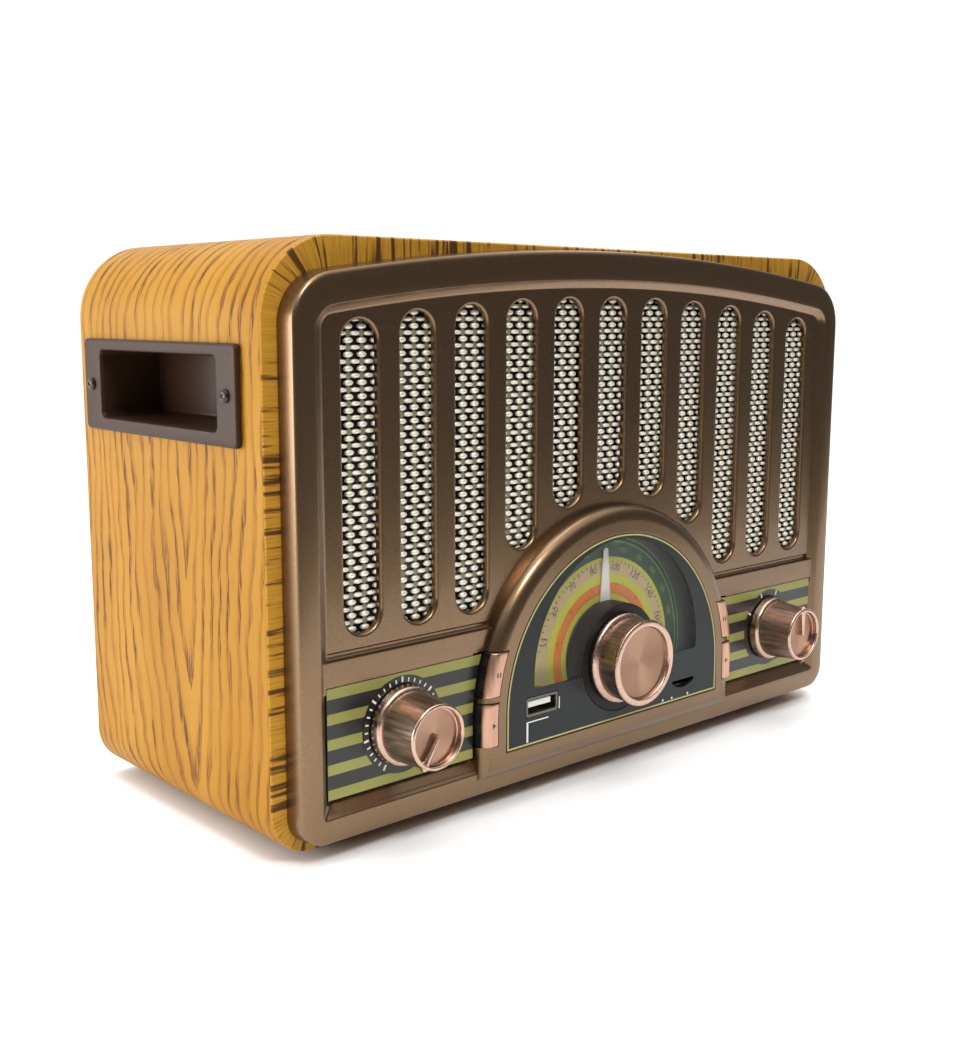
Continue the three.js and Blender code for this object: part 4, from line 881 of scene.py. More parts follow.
def groove_cutter(side):
    """The narrow groove across the panel above each control window's strip."""
    x = sorted((side * (DIAL_RADIUS + 2), side * (WINDOW_OUTER - 1.4)))
    section = [
        (59.3, -6.5), (59.3, -5.1), (59.4, -4.5), (59.8, -4.1), (60.35, -4.0), (60.9, -4.1), (61.3, -4.5),
        (61.6, -5.05), (61.8, -6.5),
    ]
    return lofted_object(f"groove_{side}", [
        [(end, at_depth(depth), at_height(high)) for high, depth in section] for end in x
    ])


def window_cutter(side):
    """A control window, which runs in under the arch, with a dark slope along its sill."""
    inner_side, outer_side = side * DIAL_RADIUS, side * WINDOW_OUTER
    corner = 3.0
    def outline(grow, sill):
        low, high = at_height(WINDOW_LOW - sill), at_height(WINDOW_HIGH + grow)
        turn = arc(WINDOW_OUTER - corner, low + corner, corner, -90, 0, 6)
        rounded = [(side * x, z) for x, z in turn]
        loop = [(inner_side, low), *rounded, (outer_side, high), (inner_side, high)]
        return loop if side > 0 else loop[::-1]
    # Each section is (how far the top opens, how far the sill drops, depth).
    sections = [
        (0, 0, CUT_BACK), (0, 0, -3.2), (0, 0.6, -3.8), (0, 2.4, -5.2), (0, 3.7, -6.2),
        (0.1, 4.4, RIM_FRONT + 0.5), (0.3, 5.2, RIM_FRONT - 0.3), (0.3, 5.6, RIM_FRONT - 2),
    ]
    return lofted_object(f"window_{side}", [
        at_y(outline(grow, sill), at_depth(depth)) for grow, sill, depth in sections
    ])


BUTTON_HEIGHTS = (44.5, 27.8)
BUTTON_INNER = 59.4
BUTTON_OUTER = 65.3
BUTTON_FRONT = -11.4
BUTTON_BACK = -2.2
BUTTON_HALF = 7.2
BUTTON_GAP = 0.3
SHOULDER_WIDTH = 3.1
SHOULDER_DEPTH = 2.3


def on_arch(side, radius, z):
    """X of a radius of the arch at a height z: a circle above the dial's centre, upright below it."""
    over = max(z - at_height(DIAL_CENTRE), 0)
    return side * math.sqrt(radius ** 2 - over ** 2)


def stations(low, high, steps=10):
    """Evenly spaced heights, ends included."""
    return [low + (high - low) * k / steps for k in range(steps + 1)]


def button_cutter(side, middle):
    """A key's pocket, which opens into the window beside it."""
    reach = BUTTON_HALF + BUTTON_GAP
    rows = stations(at_height(middle) - reach, at_height(middle) + reach)
    curve = [(on_arch(side, BUTTON_INNER - BUTTON_GAP, z), z) for z in rows]
    outline = curve + [(side * (ARCH_RADIUS + 1), rows[-1]), (side * (ARCH_RADIUS + 1), rows[0])]
    return lofted_object(f"pocket_{side}_{middle}", [
        at_y(outline, at_depth(CUT_BACK)), at_y(outline, at_depth(ARCH_FRONT - 3)),
    ])


def key_section():
    """A key in section, as (radius, depth): flat front, long round shoulder, outer wall, back."""
    flat_end = BUTTON_OUTER - SHOULDER_WIDTH
    points = [(BUTTON_INNER, BUTTON_BACK), (BUTTON_INNER, BUTTON_FRONT + 0.5)]
    points += [(BUTTON_INNER + 0.15, BUTTON_FRONT + 0.15), (BUTTON_INNER + 0.5, BUTTON_FRONT)]
    for k in range(7):
        angle = math.radians(90 * k / 6)
        out, down = math.sin(angle), 1 - math.cos(angle)
        points.append((flat_end + SHOULDER_WIDTH * out, BUTTON_FRONT + SHOULDER_DEPTH * down))
    points.append((BUTTON_OUTER, BUTTON_BACK))
    return points


def buttons():
    """Four copper push keys that follow the arch's curve, each on a body of its own."""
    names = {
        (-1, 0): "upper_left", (-1, 1): "lower_left", (1, 0): "upper_right", (1, 1): "lower_right",
    }
    for (side, row), name in names.items():
        middle = at_height(BUTTON_HEIGHTS[row])
        build = Build()
        build.loft([
            [(on_arch(side, radius, z), at_depth(depth), z) for radius, depth in key_section()]
            for z in stations(middle - BUTTON_HALF, middle + BUTTON_HALF, 12)
        ])
        body = f"{name}_button"
        key = loose_object(f"key_{name}", build.mesh(f"key_{name}", ["copper_keys", "gloss_black"]))
        baked(soften(key, 0.4))
        # Only the cap gets copper: the wall below it gets gloss black, painted shade for the dark gap beside
        # the key.
        for polygon in key.data.polygons:
            if polygon.center.y > at_depth(BUTTON_FRONT + SHOULDER_DEPTH + 0.1) * MM:
                polygon.material_index = 1
        finish_piece(key, body, [f"button_{name}"])
        key_mark(name, side, row, middle, body)


def key_mark(name, side, row, middle, body):
    """A small plain mark on a key: two bars on the upper ones, a triangle on the lower ones."""
    y = at_depth(BUTTON_FRONT + 0.15)
    x = on_arch(side, BUTTON_INNER + 2.0, middle)
    build = Build()
    if row == 0:
        low, high = middle - 0.8, middle + 0.8
        shapes = [
            [(x + left, low), (x + right, low), (x + right, high), (x + left, high)]
            for left, right in ((-0.9, -0.4), (0.3, 0.8))
        ]
    else:
        shapes = [[(x - 0.8, middle - 0.9), (x + 0.8, middle), (x - 0.8, middle + 0.9)]]
    for shape in shapes:
        build.loft([at_y(shape, y + 0.4), at_y(shape, y - 0.22)])
    piece(f"key_mark_{name}", build, ["dark_print"], body)


# ---------------------------------------------------------------- grille mesh

MESH_STEP_X = 2.475
MESH_STEP_Z = 2.05
MESH_FACE = -1.9
MESH_BACK = -1.3
MESH_RISE = 0.75
MESH_MARGIN = 2.6  # how far the mesh runs on behind each slot's edge
CLOTH_LOW = 62


def inside_slot(x, z, x_middle, low, high, margin):
    """Whether a point lies within a slot grown by a margin."""
    half = SLOT_HALF + margin
    if abs(x - x_middle) > half:
        return False
    reach = math.sqrt(half * half - (x - x_middle) ** 2)
    return low + SLOT_HALF - reach <= z <= high - SLOT_HALF + reach


def grille_mesh():
    """Pressed mesh: a perforated web with an oval bump on every crossing of its diagonal lattice."""
    build = Build()
    for x_middle, low, high in slot_places():
        reach_x, reach_z = SLOT_HALF + 3, 4
        columns = range(
            math.floor((x_middle - reach_x) / MESH_STEP_X), math.ceil((x_middle + reach_x) / MESH_STEP_X) + 1,
        )
        rows = range(
            math.floor((low - reach_z) / MESH_STEP_Z), math.ceil((high + reach_z) / MESH_STEP_Z) + 1,
        )
        for column in columns:
            for row in rows:
                x, z = column * MESH_STEP_X, row * MESH_STEP_Z
                if not inside_slot(x, z, x_middle, low, high, MESH_MARGIN):
                    continue
                if (column + row) % 2:
                    wide, tall = (1.72, 0.7) if row % 2 else (1.6, 0.9)
                    mesh_bump(build, x, z, wide, tall)
                elif row % 2:
                    mesh_junction_plate(build, x, z)
    # The second material, on the web, is darker as painted shade for the lower web.
    materials = ["pressed_steel", "mesh_junction"]
    piece("grille_mesh_weave", build, materials, "radio", ["grille_mesh"], angle=60)


def speaker_cloth():
    """The black cloth behind the mesh, down to just above the control panels."""
    cloth = Build()
    outline = [(x, max(z, at_height(CLOTH_LOW))) for x, z in arched(RIM_INSET + 0.8)]
    cloth.loft([at_y(outline, at_depth(-0.55)), at_y(outline, at_depth(-0.75))])
    piece("speaker_cloth", cloth, ["speaker_cloth"], "radio")


def mesh_bump(build, x, z, wide, tall, points=12, rings=4):
    """One oval bump: a flat back and a domed front."""
    def oval(share, y):
        turns = [2 * math.pi * k / points for k in range(points)]
        return [(x + wide * share * math.cos(a), y, z + tall * share * math.sin(a)) for a in turns]
    loops = [oval(1, at_depth(MESH_BACK))]
    for ring in range(rings):
        angle = math.radians(90 * ring / rings)
        loops.append(oval(math.cos(angle), at_depth(MESH_FACE) - MESH_RISE * math.sin(angle)))
    build.loft(loops)


def mesh_junction_plate(build, x, z):
    """The web between four bumps, a little behind them, in the darker material that paints its shade."""
    half_x, half_z = MESH_STEP_X * 0.62, MESH_STEP_Z * 0.62
    outline = [(x - half_x, z), (x, z - half_z), (x + half_x, z), (x, z + half_z)]
    back, front = at_depth(MESH_BACK + 0.1), at_depth(MESH_FACE + 0.1)
    build.loft([at_y(outline, back), at_y(outline, front)], material=1)


# ---------------------------------------------------------------- control panels

STRIPE_PITCH = 7.8
STRIPE_TALL = 3.3
STRIPE_COUNT = 5
STRIPE_TOP = 51.1
DARK_RING = 15.6


def beside_arch(side, low, high, outer):
    """The outline of something between two heights that ends on a curve round the arch."""
    curve = [(on_arch(side, CONTROL_INNER_RADIUS, z), z) for z in stations(low, high, 12)]
    return [(side * outer, low)] + curve + [(side * outer, high)]


def control_panels():
    """The black plates in the two windows, each with gold stripes and a dark ring round its knob."""
    outer = WINDOW_OUTER - 0.3
    face = at_depth(CONTROL_FRONT)
    for side, name in ((-1, "left"), (1, "right")):
        plate = Build()
        outline = beside_arch(side, at_height(WINDOW_LOW + 0.3), at_height(WINDOW_HIGH - 0.3), outer)
        plate.loft([at_y(outline, at_depth(CONTROL_BACK)), at_y(outline, face)])
        control_piece("plate", name, plate, "panel_black", [f"control_panel_{name}"])

        stripes = Build()
        for i in range(STRIPE_COUNT):
            high = at_height(STRIPE_TOP - i * STRIPE_PITCH)
            low = max(high - STRIPE_TALL, at_height(WINDOW_LOW + 0.4))
            outline = beside_arch(side, low, high, outer - 0.1)
            stripes.loft([at_y(outline, face + 0.05), at_y(outline, face - 0.05)])
        control_piece("stripes", name, stripes, "gold_stripe")

        ring = Build()
        centre = (side * SMALL_KNOB_X, at_height(SMALL_KNOB_Z))
        back, front, hole = face + 0.02, face - 0.1, 4
        ring.turn(
            [(hole, back), (DARK_RING, back), (DARK_RING, front), (hole, front), (hole, back)],
            72, centre=centre,
        )
        control_piece("ring", name, ring, "panel_black")
        panel_marks(name, side)


def control_piece(part, name, build, material, replaces=()):
    piece(f"control_{part}_{name}", build, [material], "radio", replaces)


def panel_marks(name, side):
    """Generic white ticks round the small knob, longer every fifth one."""
    build = Build()
    centre = (side * SMALL_KNOB_X, at_height(SMALL_KNOB_Z))
    y = at_depth(CONTROL_FRONT - 0.12)
    turns = range(-150, 151, 10) if side < 0 else (-60, -20, 20, 60)
    for i, degrees in enumerate(turns):
        long_tick = i % 5 == 0 or side > 0
        tick(build, centre, degrees, 13.5, 15.3 if long_tick else 14.7, 0.34 if long_tick else 0.24, y)
    control_piece("marks", name, build, "white_print")


def tick(build, centre, degrees, inner, outer, half, y, material=0, thickness=0.08):
    """A radial bar. Degrees are clockwise from straight up."""
    along = Vector((math.sin(math.radians(degrees)), math.cos(math.radians(degrees))))
    aside = Vector((along.y, -along.x)) * half
    middle = Vector(centre)
    corners = [
        middle + along * inner - aside, middle + along * inner + aside,
        middle + along * outer + aside, middle + along * outer - aside,
    ]
    outline = [(corner.x, corner.y) for corner in corners]
    build.loft([at_y(outline, y + thickness), at_y(outline, y - thickness)], material)


# ---------------------------------------------------------------- dial

SCALE_BANDS = [
    ("core", 3.5, 19.2), ("lime", 19.2, 21.5), ("orange", 21.5, 25.5), ("lime", 25.5, 28.5),
    ("tan", 28.5, 33.4), ("lime", 33.4, 34.9), ("green", 34.9, 40.2), ("leaf", 40.2, 40.7),
    ("green", 40.7, 41.9), ("leaf", 41.9, 42.3),
]


SCALE_SWEEP = 112  # degrees each way from straight up
INK = 0.03


def annulus_sector(build, centre, inner, outer, start, end, front, back, steps=64, material=0):
    """A flat ring sector. Degrees are clockwise from straight up."""
    def along(radius, degrees):
        return (
            centre[0] + radius * math.sin(math.radians(degrees)),
            centre[1] + radius * math.cos(math.radians(degrees)),
        )
    angles = [start + (end - start) * k / steps for k in range(steps + 1)]
    outline = [along(outer, a) for a in angles] + [along(inner, a) for a in reversed(angles)]
    rows = [build.add_points(at_y(outline, y)) for y in (front, back)]
    count = len(outline)
    for i in range(count):
        j = (i + 1) % count
        build.face((rows[0][i], rows[0][j], rows[1][j], rows[1][i]), material)
    for row in rows:
        for k in range(steps):
            build.face((row[k], row[k + 1], row[count - 2 - k], row[count - 1 - k]), material)


def dial():
    """The scale behind the lens: a grey plate, coloured bands, ticks and numbers."""
    axis = (0, at_height(KNOB_AXIS))
    plate = Build()
    outline = dee(SCALE_RADIUS, DIAL_BOTTOM - SCALE_OVERLAP)
    plate.loft([at_y(outline, at_depth(SCALE_FRONT + 0.8)), at_y(outline, at_depth(SCALE_FRONT + 0.02))])
    scale_plate = loose_object("scale_plate", plate.mesh("scale_plate", ["scale_grey"]))
    combine(scale_plate, [
        socket_cutter("usb_socket", 0.2, SCALE_FRONT), socket_cutter("card_socket", 0.2, SCALE_FRONT),
    ], "DIFFERENCE")
    finish_piece(scale_plate, "radio", ["dial_scale"])

    bands = Build()
    names = sorted({name for name, _, _ in SCALE_BANDS})
    front, back = at_depth(SCALE_FRONT - 0.06), at_depth(SCALE_FRONT + 0.04)
    for name, inner, outer in SCALE_BANDS:
        annulus_sector(
            bands, axis, inner, outer, -SCALE_SWEEP, SCALE_SWEEP, front, back, material=names.index(name),
        )
    piece("scale_bands", bands, [f"scale_{name}" for name in names], "radio")

    marks = Build()
    y = at_depth(SCALE_FRONT - 0.08)
    for i in range(-80, 81, 2):
        longer = i % 10 == 0
        tick(marks, axis, i, 38.9 if longer else 39.4, 40.2, 0.14, y, 0, INK)
    for i in range(-80, 81, 4):
        tick(marks, axis, i, 32.5 if i % 12 else 32.0, 33.4, 0.16, y, 1, INK)
        tick(marks, axis, i, 21.5, 22.2 if i % 12 else 22.6, 0.16, y, 2, INK)
    piece("scale_ticks", marks, ["scale_leaf", "dark_print", "scale_rust"], "radio")

    numbers("outer", [88, 90, 92, 94, 96, 98, 100, 102, 104, 106, 108], 36.2, 2.1, "scale_leaf", y)
    numbers("middle", [53, 60, 70, 80, 100, 120, 140, 160], 29.2, 2.6, "dark_print", y)
    numbers("inner", [4, 5, 6, 7, 9, 12], 22.9, 2.2, "scale_rust", y)


def numbers(name, values, radius, tall, material, y):
    """Plain numbers set round the dial, each standing on its own radius."""
    spread = 74
    meshes = []
    for i, value in enumerate(values):
        degrees = -spread + 2 * spread * i / (len(values) - 1)
        curve = bpy.data.curves.new(f"{name}_{value}", "FONT")
        curve.body = str(value)
        curve.size = tall * MM * 1.35
        curve.align_x = "CENTER"
        curve.align_y = "BOTTOM"
        curve.extrude = INK * MM
        curve.resolution_u = 3
        text = bpy.data.objects.new(f"{name}_{value}", curve)
        bpy.context.collection.objects.link(text)
        bpy.context.view_layer.update()
        mesh = bpy.data.meshes.new_from_object(text.evaluated_get(bpy.context.evaluated_depsgraph_get()))
        bpy.data.objects.remove(text)
        stand = Matrix.Rotation(math.radians(90), 4, "X")
        lift = Matrix.Translation((0, 0, radius * MM))
        swing = Matrix.Rotation(math.radians(degrees), 4, "Y")
        place = Matrix.Translation((0, y * MM, at_height(KNOB_AXIS) * MM))
        mesh.transform(place @ swing @ lift @ stand)
        meshes.append(mesh)
    obj = joined_meshes(f"scale_numbers_{name}", meshes, material)
    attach(obj, "radio")


def joined_meshes(name, meshes, material):
    """One object that holds all the meshes."""
    points, faces = [], []
    for mesh in meshes:
        first = len(points)
        points.extend(v.co.copy() for v in mesh.vertices)
        faces.extend([first + i for i in polygon.vertices] for polygon in mesh.polygons)
        bpy.data.meshes.remove(mesh)
    joined = bpy.data.meshes.new(name)
    joined.from_pydata(points, [], faces)
    joined.materials.append(MATERIALS[material])
    return loose_object(name, joined)


WINDOW_RADIUS = 42.7
WINDOW_FLOOR = 36.1
LENS_BACK = -9.45
LENS_FRONT = -10.75
CUTTER_BACK = -8  # from here to CUTTER_FRONT, a cutter passes through the whole lens
CUTTER_FRONT = -12


def lens_cutter(name, outline):
    """A cutter with a given outline, right through the lens."""
    return lofted_object(name, [at_y(outline, at_depth(CUTTER_BACK)), at_y(outline, at_depth(CUTTER_FRONT))])


def lens():
    """The charcoal print on the lens, its clear half-round window and the gold outline."""
    outline = dee(DIAL_RADIUS - 0.35, DIAL_BOTTOM + 0.35)
    printed_sheet = lens_sheet("dial_print", outline, LENS_BACK, LENS_FRONT, "charcoal")
    floor_angle = math.degrees(math.asin((KNOB_AXIS - WINDOW_FLOOR) / WINDOW_RADIUS))
    opening = arc(0, at_height(KNOB_AXIS), WINDOW_RADIUS, -floor_angle, 180 + floor_angle, 96)
    combine(printed_sheet, [
        lens_cutter("window_opening", opening), socket_cutter("usb_socket", 0.15, ARCH_FRONT),
        card_cutter(), hub_cutter("hub_hole_print"),
    ], "DIFFERENCE")
    finish_piece(printed_sheet, "radio", ["dial_lens"], 30)

    fitted = [(x * 0.995, z) for x, z in opening]
    clear = lens_sheet("dial_window", fitted, LENS_BACK - 0.25, LENS_FRONT + 0.03, "acrylic")
    combine(clear, [hub_cutter("hub_hole_clear")], "DIFFERENCE")
    finish_piece(clear, "radio", (), 30)

    line = Build()
    outer, inner = outline, dee(DIAL_RADIUS - 0.95, DIAL_BOTTOM + 0.95)
    back, front = at_depth(LENS_FRONT + 0.01), at_depth(LENS_FRONT - 0.09)
    line.loft([at_y(outer, back), at_y(outer, front), at_y(inner, front), at_y(inner, back)], ring=True)
    piece("dial_outline", line, ["gold_line"], "radio", angle=30)
    lens_marks()


def lens_sheet(name, outline, back, front, material):
    """A flat sheet between two depths."""
    sheet = lofted_object(name, [at_y(outline, at_depth(back)), at_y(outline, at_depth(front))])
    sheet.data.materials.clear()
    sheet.data.materials.append(MATERIALS[material])
    return sheet


def socket_cutter(node, margin, front):
    """An opening round a socket's outline, through whatever lies at a depth."""
    low, high = (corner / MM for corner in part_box(node))
    outline = rounded_rectangle(low.x - margin, high.x + margin, low.z - margin, high.z + margin, 0.4, 3)
    return lofted_object(f"opening_{node}", [
        at_y(outline, at_depth(front + 3)), at_y(outline, at_depth(front - 1)),
    ])


def hub_cutter(name):
    """The lens's round hole for the black hub behind the tuning knob."""
    low, high = (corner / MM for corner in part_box("pointer_disc"))
    circle = arc(0, at_height(KNOB_AXIS), (high.x - low.x) / 2 + 0.25, 0, 356, 89)
    return lens_cutter(name, circle)


def card_cutter():
    """The card slot's mouth, with a shallow hollow along its lower edge for a fingertip."""
    left, right, top, steps = 29.6, 42.0, at_height(25.0), 12
    slot_height, hollow_depth = 1.3, 1.9
    hollow = [
        (left + (right - left) * k / steps, top - slot_height - hollow_depth * math.sin(math.pi * k / steps))
        for k in range(steps + 1)
    ]
    return lens_cutter("opening_card", [(left, top), *hollow, (right, top)])


def lens_marks():
    """The thin printed bracket beside the USB socket, and three dots along the lens's lower edge."""
    build = Build()
    front, back = at_depth(LENS_FRONT - 0.08), at_depth(LENS_FRONT + 0.05)
    bars = [(-46.3, -45.5, 18.5, 25.6), (-45.5, -36.0, 25.2, 25.6), (-31.0, -30.6, 27.4, 31.6)]
    for x0, x1, low, high in bars:
        outline = [(x0, at_height(low)), (x1, at_height(low)), (x1, at_height(high)), (x0, at_height(high))]
        build.loft([at_y(outline, back), at_y(outline, front)])
    for x in (24.2, 29.4, 38.6):
        outline = arc(x, at_height(18.9), 0.45, 0, 330, 11)
        build.loft([at_y(outline, back), at_y(outline, front)])
    piece("lens_marks", build, ["white_print"], "radio")


def pointer():
    """The white needle and the black disc in front of its foot, both on the tuning shaft."""
    low, high = (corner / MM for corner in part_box("pointer_disc"))
    radius = (high.x - low.x) / 2
    build = Build()
    build.turn([
        (3.4, high.y), (radius - 0.1, high.y), (radius, high.y - 0.1), (radius, low.y + 0.15),
        (radius - 0.15, low.y), (3.4, low.y), (3.4, high.y),
    ], centre=(0, at_height(KNOB_AXIS)))
    piece("pointer_hub", build, ["black_skirt"], "tuning", ["pointer_disc"], angle=40)

    needle_low, needle_high = (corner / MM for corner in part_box("dial_pointer"))
    axis = at_height(KNOB_AXIS)
    outline = [
        (-2.6, 5), (2.6, 5), (2.4, 22), (1.15, 37.6), (0.8, 38.3), (-0.8, 38.3), (-1.15, 37.6), (-2.4, 22),
    ]
    needle = Build()
    needle.loft([at_y([(x, axis + z) for x, z in outline], y) for y in (needle_high.y, needle_low.y)])
    piece("needle", needle, ["white_plastic"], "tuning", ["dial_pointer"], rounding=0.12)


# ---------------------------------------------------------------- knobs

# The order in which each knob's profile numbers them.
KNOB_MATERIALS = ["copper_side", "copper_rim", "copper_face"]


def tuning_knob():
    """The large knob: a flange, a brushed barrel, a raised ring and a spun face, slightly dished."""
    low, high = (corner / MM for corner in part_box("tuning_knob"))
    front, back = low.y, high.y
    centre = (0, at_height(KNOB_AXIS))
    profile = [
        (3.4, back), (15.6, back), (16.1, back - 0.15), (16.3, back - 0.5), (16.3, back - 1.1),
        (16.1, back - 1.7), (15.7, back - 2.1), (15.0, back - 2.35), (14.5, back - 2.6),
        (14.45, back - 3.0), (14.5, back - 4), (14.95, front + 1.9),
        (15.05, front + 1.3), (15.3, front + 1.0), (15.3, front + 0.6), (15.1, front + 0.2), (14.6, front),
        (13.4, front), (13.1, front + 0.12), (12.85, front + 0.4), (12.75, front + 0.9), (12.6, front + 1.5),
        (12.3, front + 1.7), (0, front + 3.0),
    ]
    materials = [1] * 9 + [0] * 2 + [1] * 10 + [2] * 2
    build = Build()
    build.turn(profile, 128, materials, centre)
    piece("knob_tuning", build, KNOB_MATERIALS, "tuning", ["tuning_knob"], 40)


def small_knobs():
    """The two small knobs, each with a pointer ridge. The volume knob rests at its lower left end."""
    for node, body, sign, degrees in (
        ("volume_knob", "volume", -1, -150), ("function_knob", "function_selector", 1, 0),
    ):
        low, high = (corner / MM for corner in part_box(node))
        front, back = low.y, high.y
        centre = (sign * SMALL_KNOB_X, at_height(SMALL_KNOB_Z))
        profile = [
            (3.4, back), (12.3, back), (12.75, back - 0.15), (12.9, back - 0.5), (12.9, back - 0.9),
            (12.75, back - 1.4), (12.7, back - 2.6), (12.4, back - 3.2), (11.9, back - 3.5),
            (11.3, back - 3.7), (11.2, back - 4.1), (10.35, front + 1.4), (10.4, front + 0.9),
            (10.35, front + 0.4), (10.1, front + 0.1), (9.7, front), (9.4, front), (9.15, front + 0.15),
            (9.0, front + 0.5), (8.9, front + 1.9), (8.6, front + 2.1), (0, front + 2.1),
        ]
        materials = [1] * 10 + [0] * 2 + [1] * 8 + [2] * 1
        build = Build()
        build.turn(profile, 96, materials, centre)
        piece(f"knob_{body}", build, KNOB_MATERIALS, body, [node], 40)
        knob_ridge(body, centre, front, math.radians(degrees))


def knob_ridge(body, centre, front, swing):
    """The wedge on a small knob's face that shows where it points, swung clockwise from upright."""
    foot = [(-0.25, -0.6), (0.25, -0.6), (1.35, 9.1), (1.1, 10.4), (0, 11.3), (-1.1, 10.4), (-1.35, 9.1)]
    crest = [(-0.1, -0.3), (0.1, -0.3), (0.5, 9.0), (0.4, 10.2), (0, 10.9), (-0.4, 10.2), (-0.5, 9.0)]
    def placed(outline, depth):
        turned = [swung(x, z, swing) for x, z in outline]
        return at_y([(centre[0] + x, centre[1] + z) for x, z in turned], front + depth)
    ridge = Build()
    ridge.loft([placed(foot, 2.3), placed(foot, 0.7), placed(crest, 0.15)])
    piece(f"ridge_{body}", ridge, ["copper_rim"], body, rounding=0.12)


# ---------------------------------------------------------------- handle cups

CUP_WALL = 1.6
CUP_DEPTH = 20


def side_loop(place, x, grow, radius):
    """A rounded rectangle, grown outwards, standing in the cabinet's side at an X."""
    outline = rounded_rectangle(
        at_depth(place["near"] - grow), at_depth(place["far"] + grow),
        at_height(place["low"] - grow), at_height(place["high"] + grow), radius,
    )
    return [(x, y, z) for y, z in outline]


def handle_cups():
    """A recessed grip in each side: a framed plate, rounded into a pocket with a wall and a floor."""
    side_face, pocket_floor = WIDTH / 2, WIDTH / 2 - CUP_DEPTH
    # Each section is (outline, X, how much it is grown, corner radius), from behind the plate inwards.
    sections = [
        (HANDLE, side_face + 0.3, -3, 0.6), (HANDLE, side_face + 0.3, -0.1, 1.6),
        (HANDLE, side_face + 0.5, 0, 1.8), (HANDLE, side_face + 1.3, 0, 1.8),
        (HANDLE, side_face + 1.75, -0.25, 1.6), (HANDLE, side_face + 2, -0.8, 1.3),
        (POCKET, side_face + 2, 1.1, 2.6), (POCKET, side_face + 1.8, 0.45, 2.2),
        (POCKET, side_face + 1.2, 0.1, 2), (POCKET, side_face + 0.4, 0, 1.9),
        (POCKET, pocket_floor + 1.2, -0.6, 1.9), (POCKET, pocket_floor + 0.2, -1.2, 1.6),
        (POCKET, pocket_floor, -2.2, 1.2),
    ]
    outside = [(POCKET, x, CUP_WALL, 1) for x in (side_face + 0.3, pocket_floor - CUP_WALL)]
    for side, name in ((-1, "left"), (1, "right")):
        build = Build()
        loops = [side_loop(place, side * x, grow, radius) for place, x, grow, radius in sections + outside]
        build.loft(loops[:-2], cap_first=False)
        rows = [build.add_points(loop) for loop in loops[-2:]]
        count = len(rows[0])
        for i in range(count):
            j = (i + 1) % count
            # The plate's back, whose rim is the loft's first loop, then the pocket's outer wall.
            build.face((i, j, rows[0][j], rows[0][i]))
            build.face((rows[0][i], rows[0][j], rows[1][j], rows[1][i]))
        build.face(rows[1])
        replaced = [f"handle_cup_{name}"]
        piece(f"handle_{name}", build, ["brown_plastic"], "radio", replaced, 40)
    for side, name in ((-1, "left"), (1, "right")):
        for i in (1, 2):
            screw_head(f"handle_screw_{name}_{i}", Vector((side, 0, 0)), "screw_black", 2.1, turn=35 * i)


def screw_head(node, outwards, material, radius, turn=0):
    """A low domed head with a cross recess, on its shank, facing along X or Y."""
    low, high = (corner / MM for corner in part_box(node))
    middle = (low + high) / 2
    tip = high if outwards.x + outwards.y > 0 else low
    across = abs(outwards.x) > 0.5
    reach = high.x - low.x if across else high.y - low.y
    build = Build()
    build.turn([
        (0, -reach), (1.2, -reach), (1.4, -reach + 0.6), (1.4, -1.0), (radius - 0.1, -1.0),
        (radius, -0.85), (radius * 0.93, -0.55), (radius * 0.72, -0.2), (radius * 0.4, -0.03), (0, 0),
    ], 40)
    head = loose_object(f"{node}_head", build.mesh(node, [material]))
    arms = [recess_arm(f"{node}_arm_{quarter}", radius, quarter + turn, material) for quarter in (0, 90)]
    combine(head, arms, "DIFFERENCE")
    # The head is drawn facing +Y, then turned to face outwards.
    facing = Vector((0, 1, 0)).rotation_difference(outwards).to_matrix().to_4x4()
    place = Vector((tip.x, middle.y, middle.z)) if across else Vector((middle.x, tip.y, middle.z))
    head.data.transform(Matrix.Translation(place * MM) @ facing)
    finish_piece(head, "radio", [node], 40)


def recess_arm(name, radius, degrees, material):
    """One bar of a cross recess, narrower at its foot."""
    wide, tall = radius * 0.13, radius * 0.55
    corners = [(-wide, -tall), (wide, -tall), (wide, tall), (-wide, tall)]
    turned = [swung(x, z, math.radians(degrees)) for x, z in corners]
    foot = [(x * 0.6, z * 0.6) for x, z in turned]
    arm = Build()
    arm.loft([at_y(foot, -0.75), at_y(turned, 0.5)])
    return loose_object(name, arm.mesh("arm", [material]))


# ---------------------------------------------------------------- sockets


def sockets():
    """The USB socket's folded steel shell and its white tongue."""
    low, high = (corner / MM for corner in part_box("usb_socket"))
    frame_width = 1.05
    outer = rounded_rectangle(low.x, high.x, low.z, high.z, 0.7, 4)
    inner = rounded_rectangle(
        low.x + frame_width, high.x - frame_width, low.z + frame_width, high.z - frame_width, 0.4, 4,
    )
    front, back = low.y + 0.02, high.y
    def flare(loop, share):
        cx, cz = (low.x + high.x) / 2, (low.z + high.z) / 2
        return [(cx + (x - cx) * share, cz + (z - cz) * share) for x, z in loop]
    shell = Build()
    shell.loft([
        at_y(outer, back), at_y(outer, front + 0.3), at_y(flare(outer, 0.985), front + 0.05),
        at_y(flare(outer, 0.95), front), at_y(flare(inner, 1.03), front + 0.05), at_y(inner, front + 0.5),
        at_y(inner, back - 1),
    ])
    piece("usb_shell", shell, ["dark_steel"], "radio", ["usb_socket"], 35)

    x0, x1 = low.x + 1.3, high.x - 3.0
    top = high.z - frame_width - 0.35
    bottom = top - 2.1
    outline = [(x0, bottom), (x1, bottom), (x1, top), (x0, top)]
    tongue = Build()
    tongue.loft([at_y(outline, back - 1.3), at_y(outline, front + 0.5)])
    piece("usb_tongue", tongue, ["white_plastic"], "radio", rounding=0.15)


# ---------------------------------------------------------------- carried-over nodes

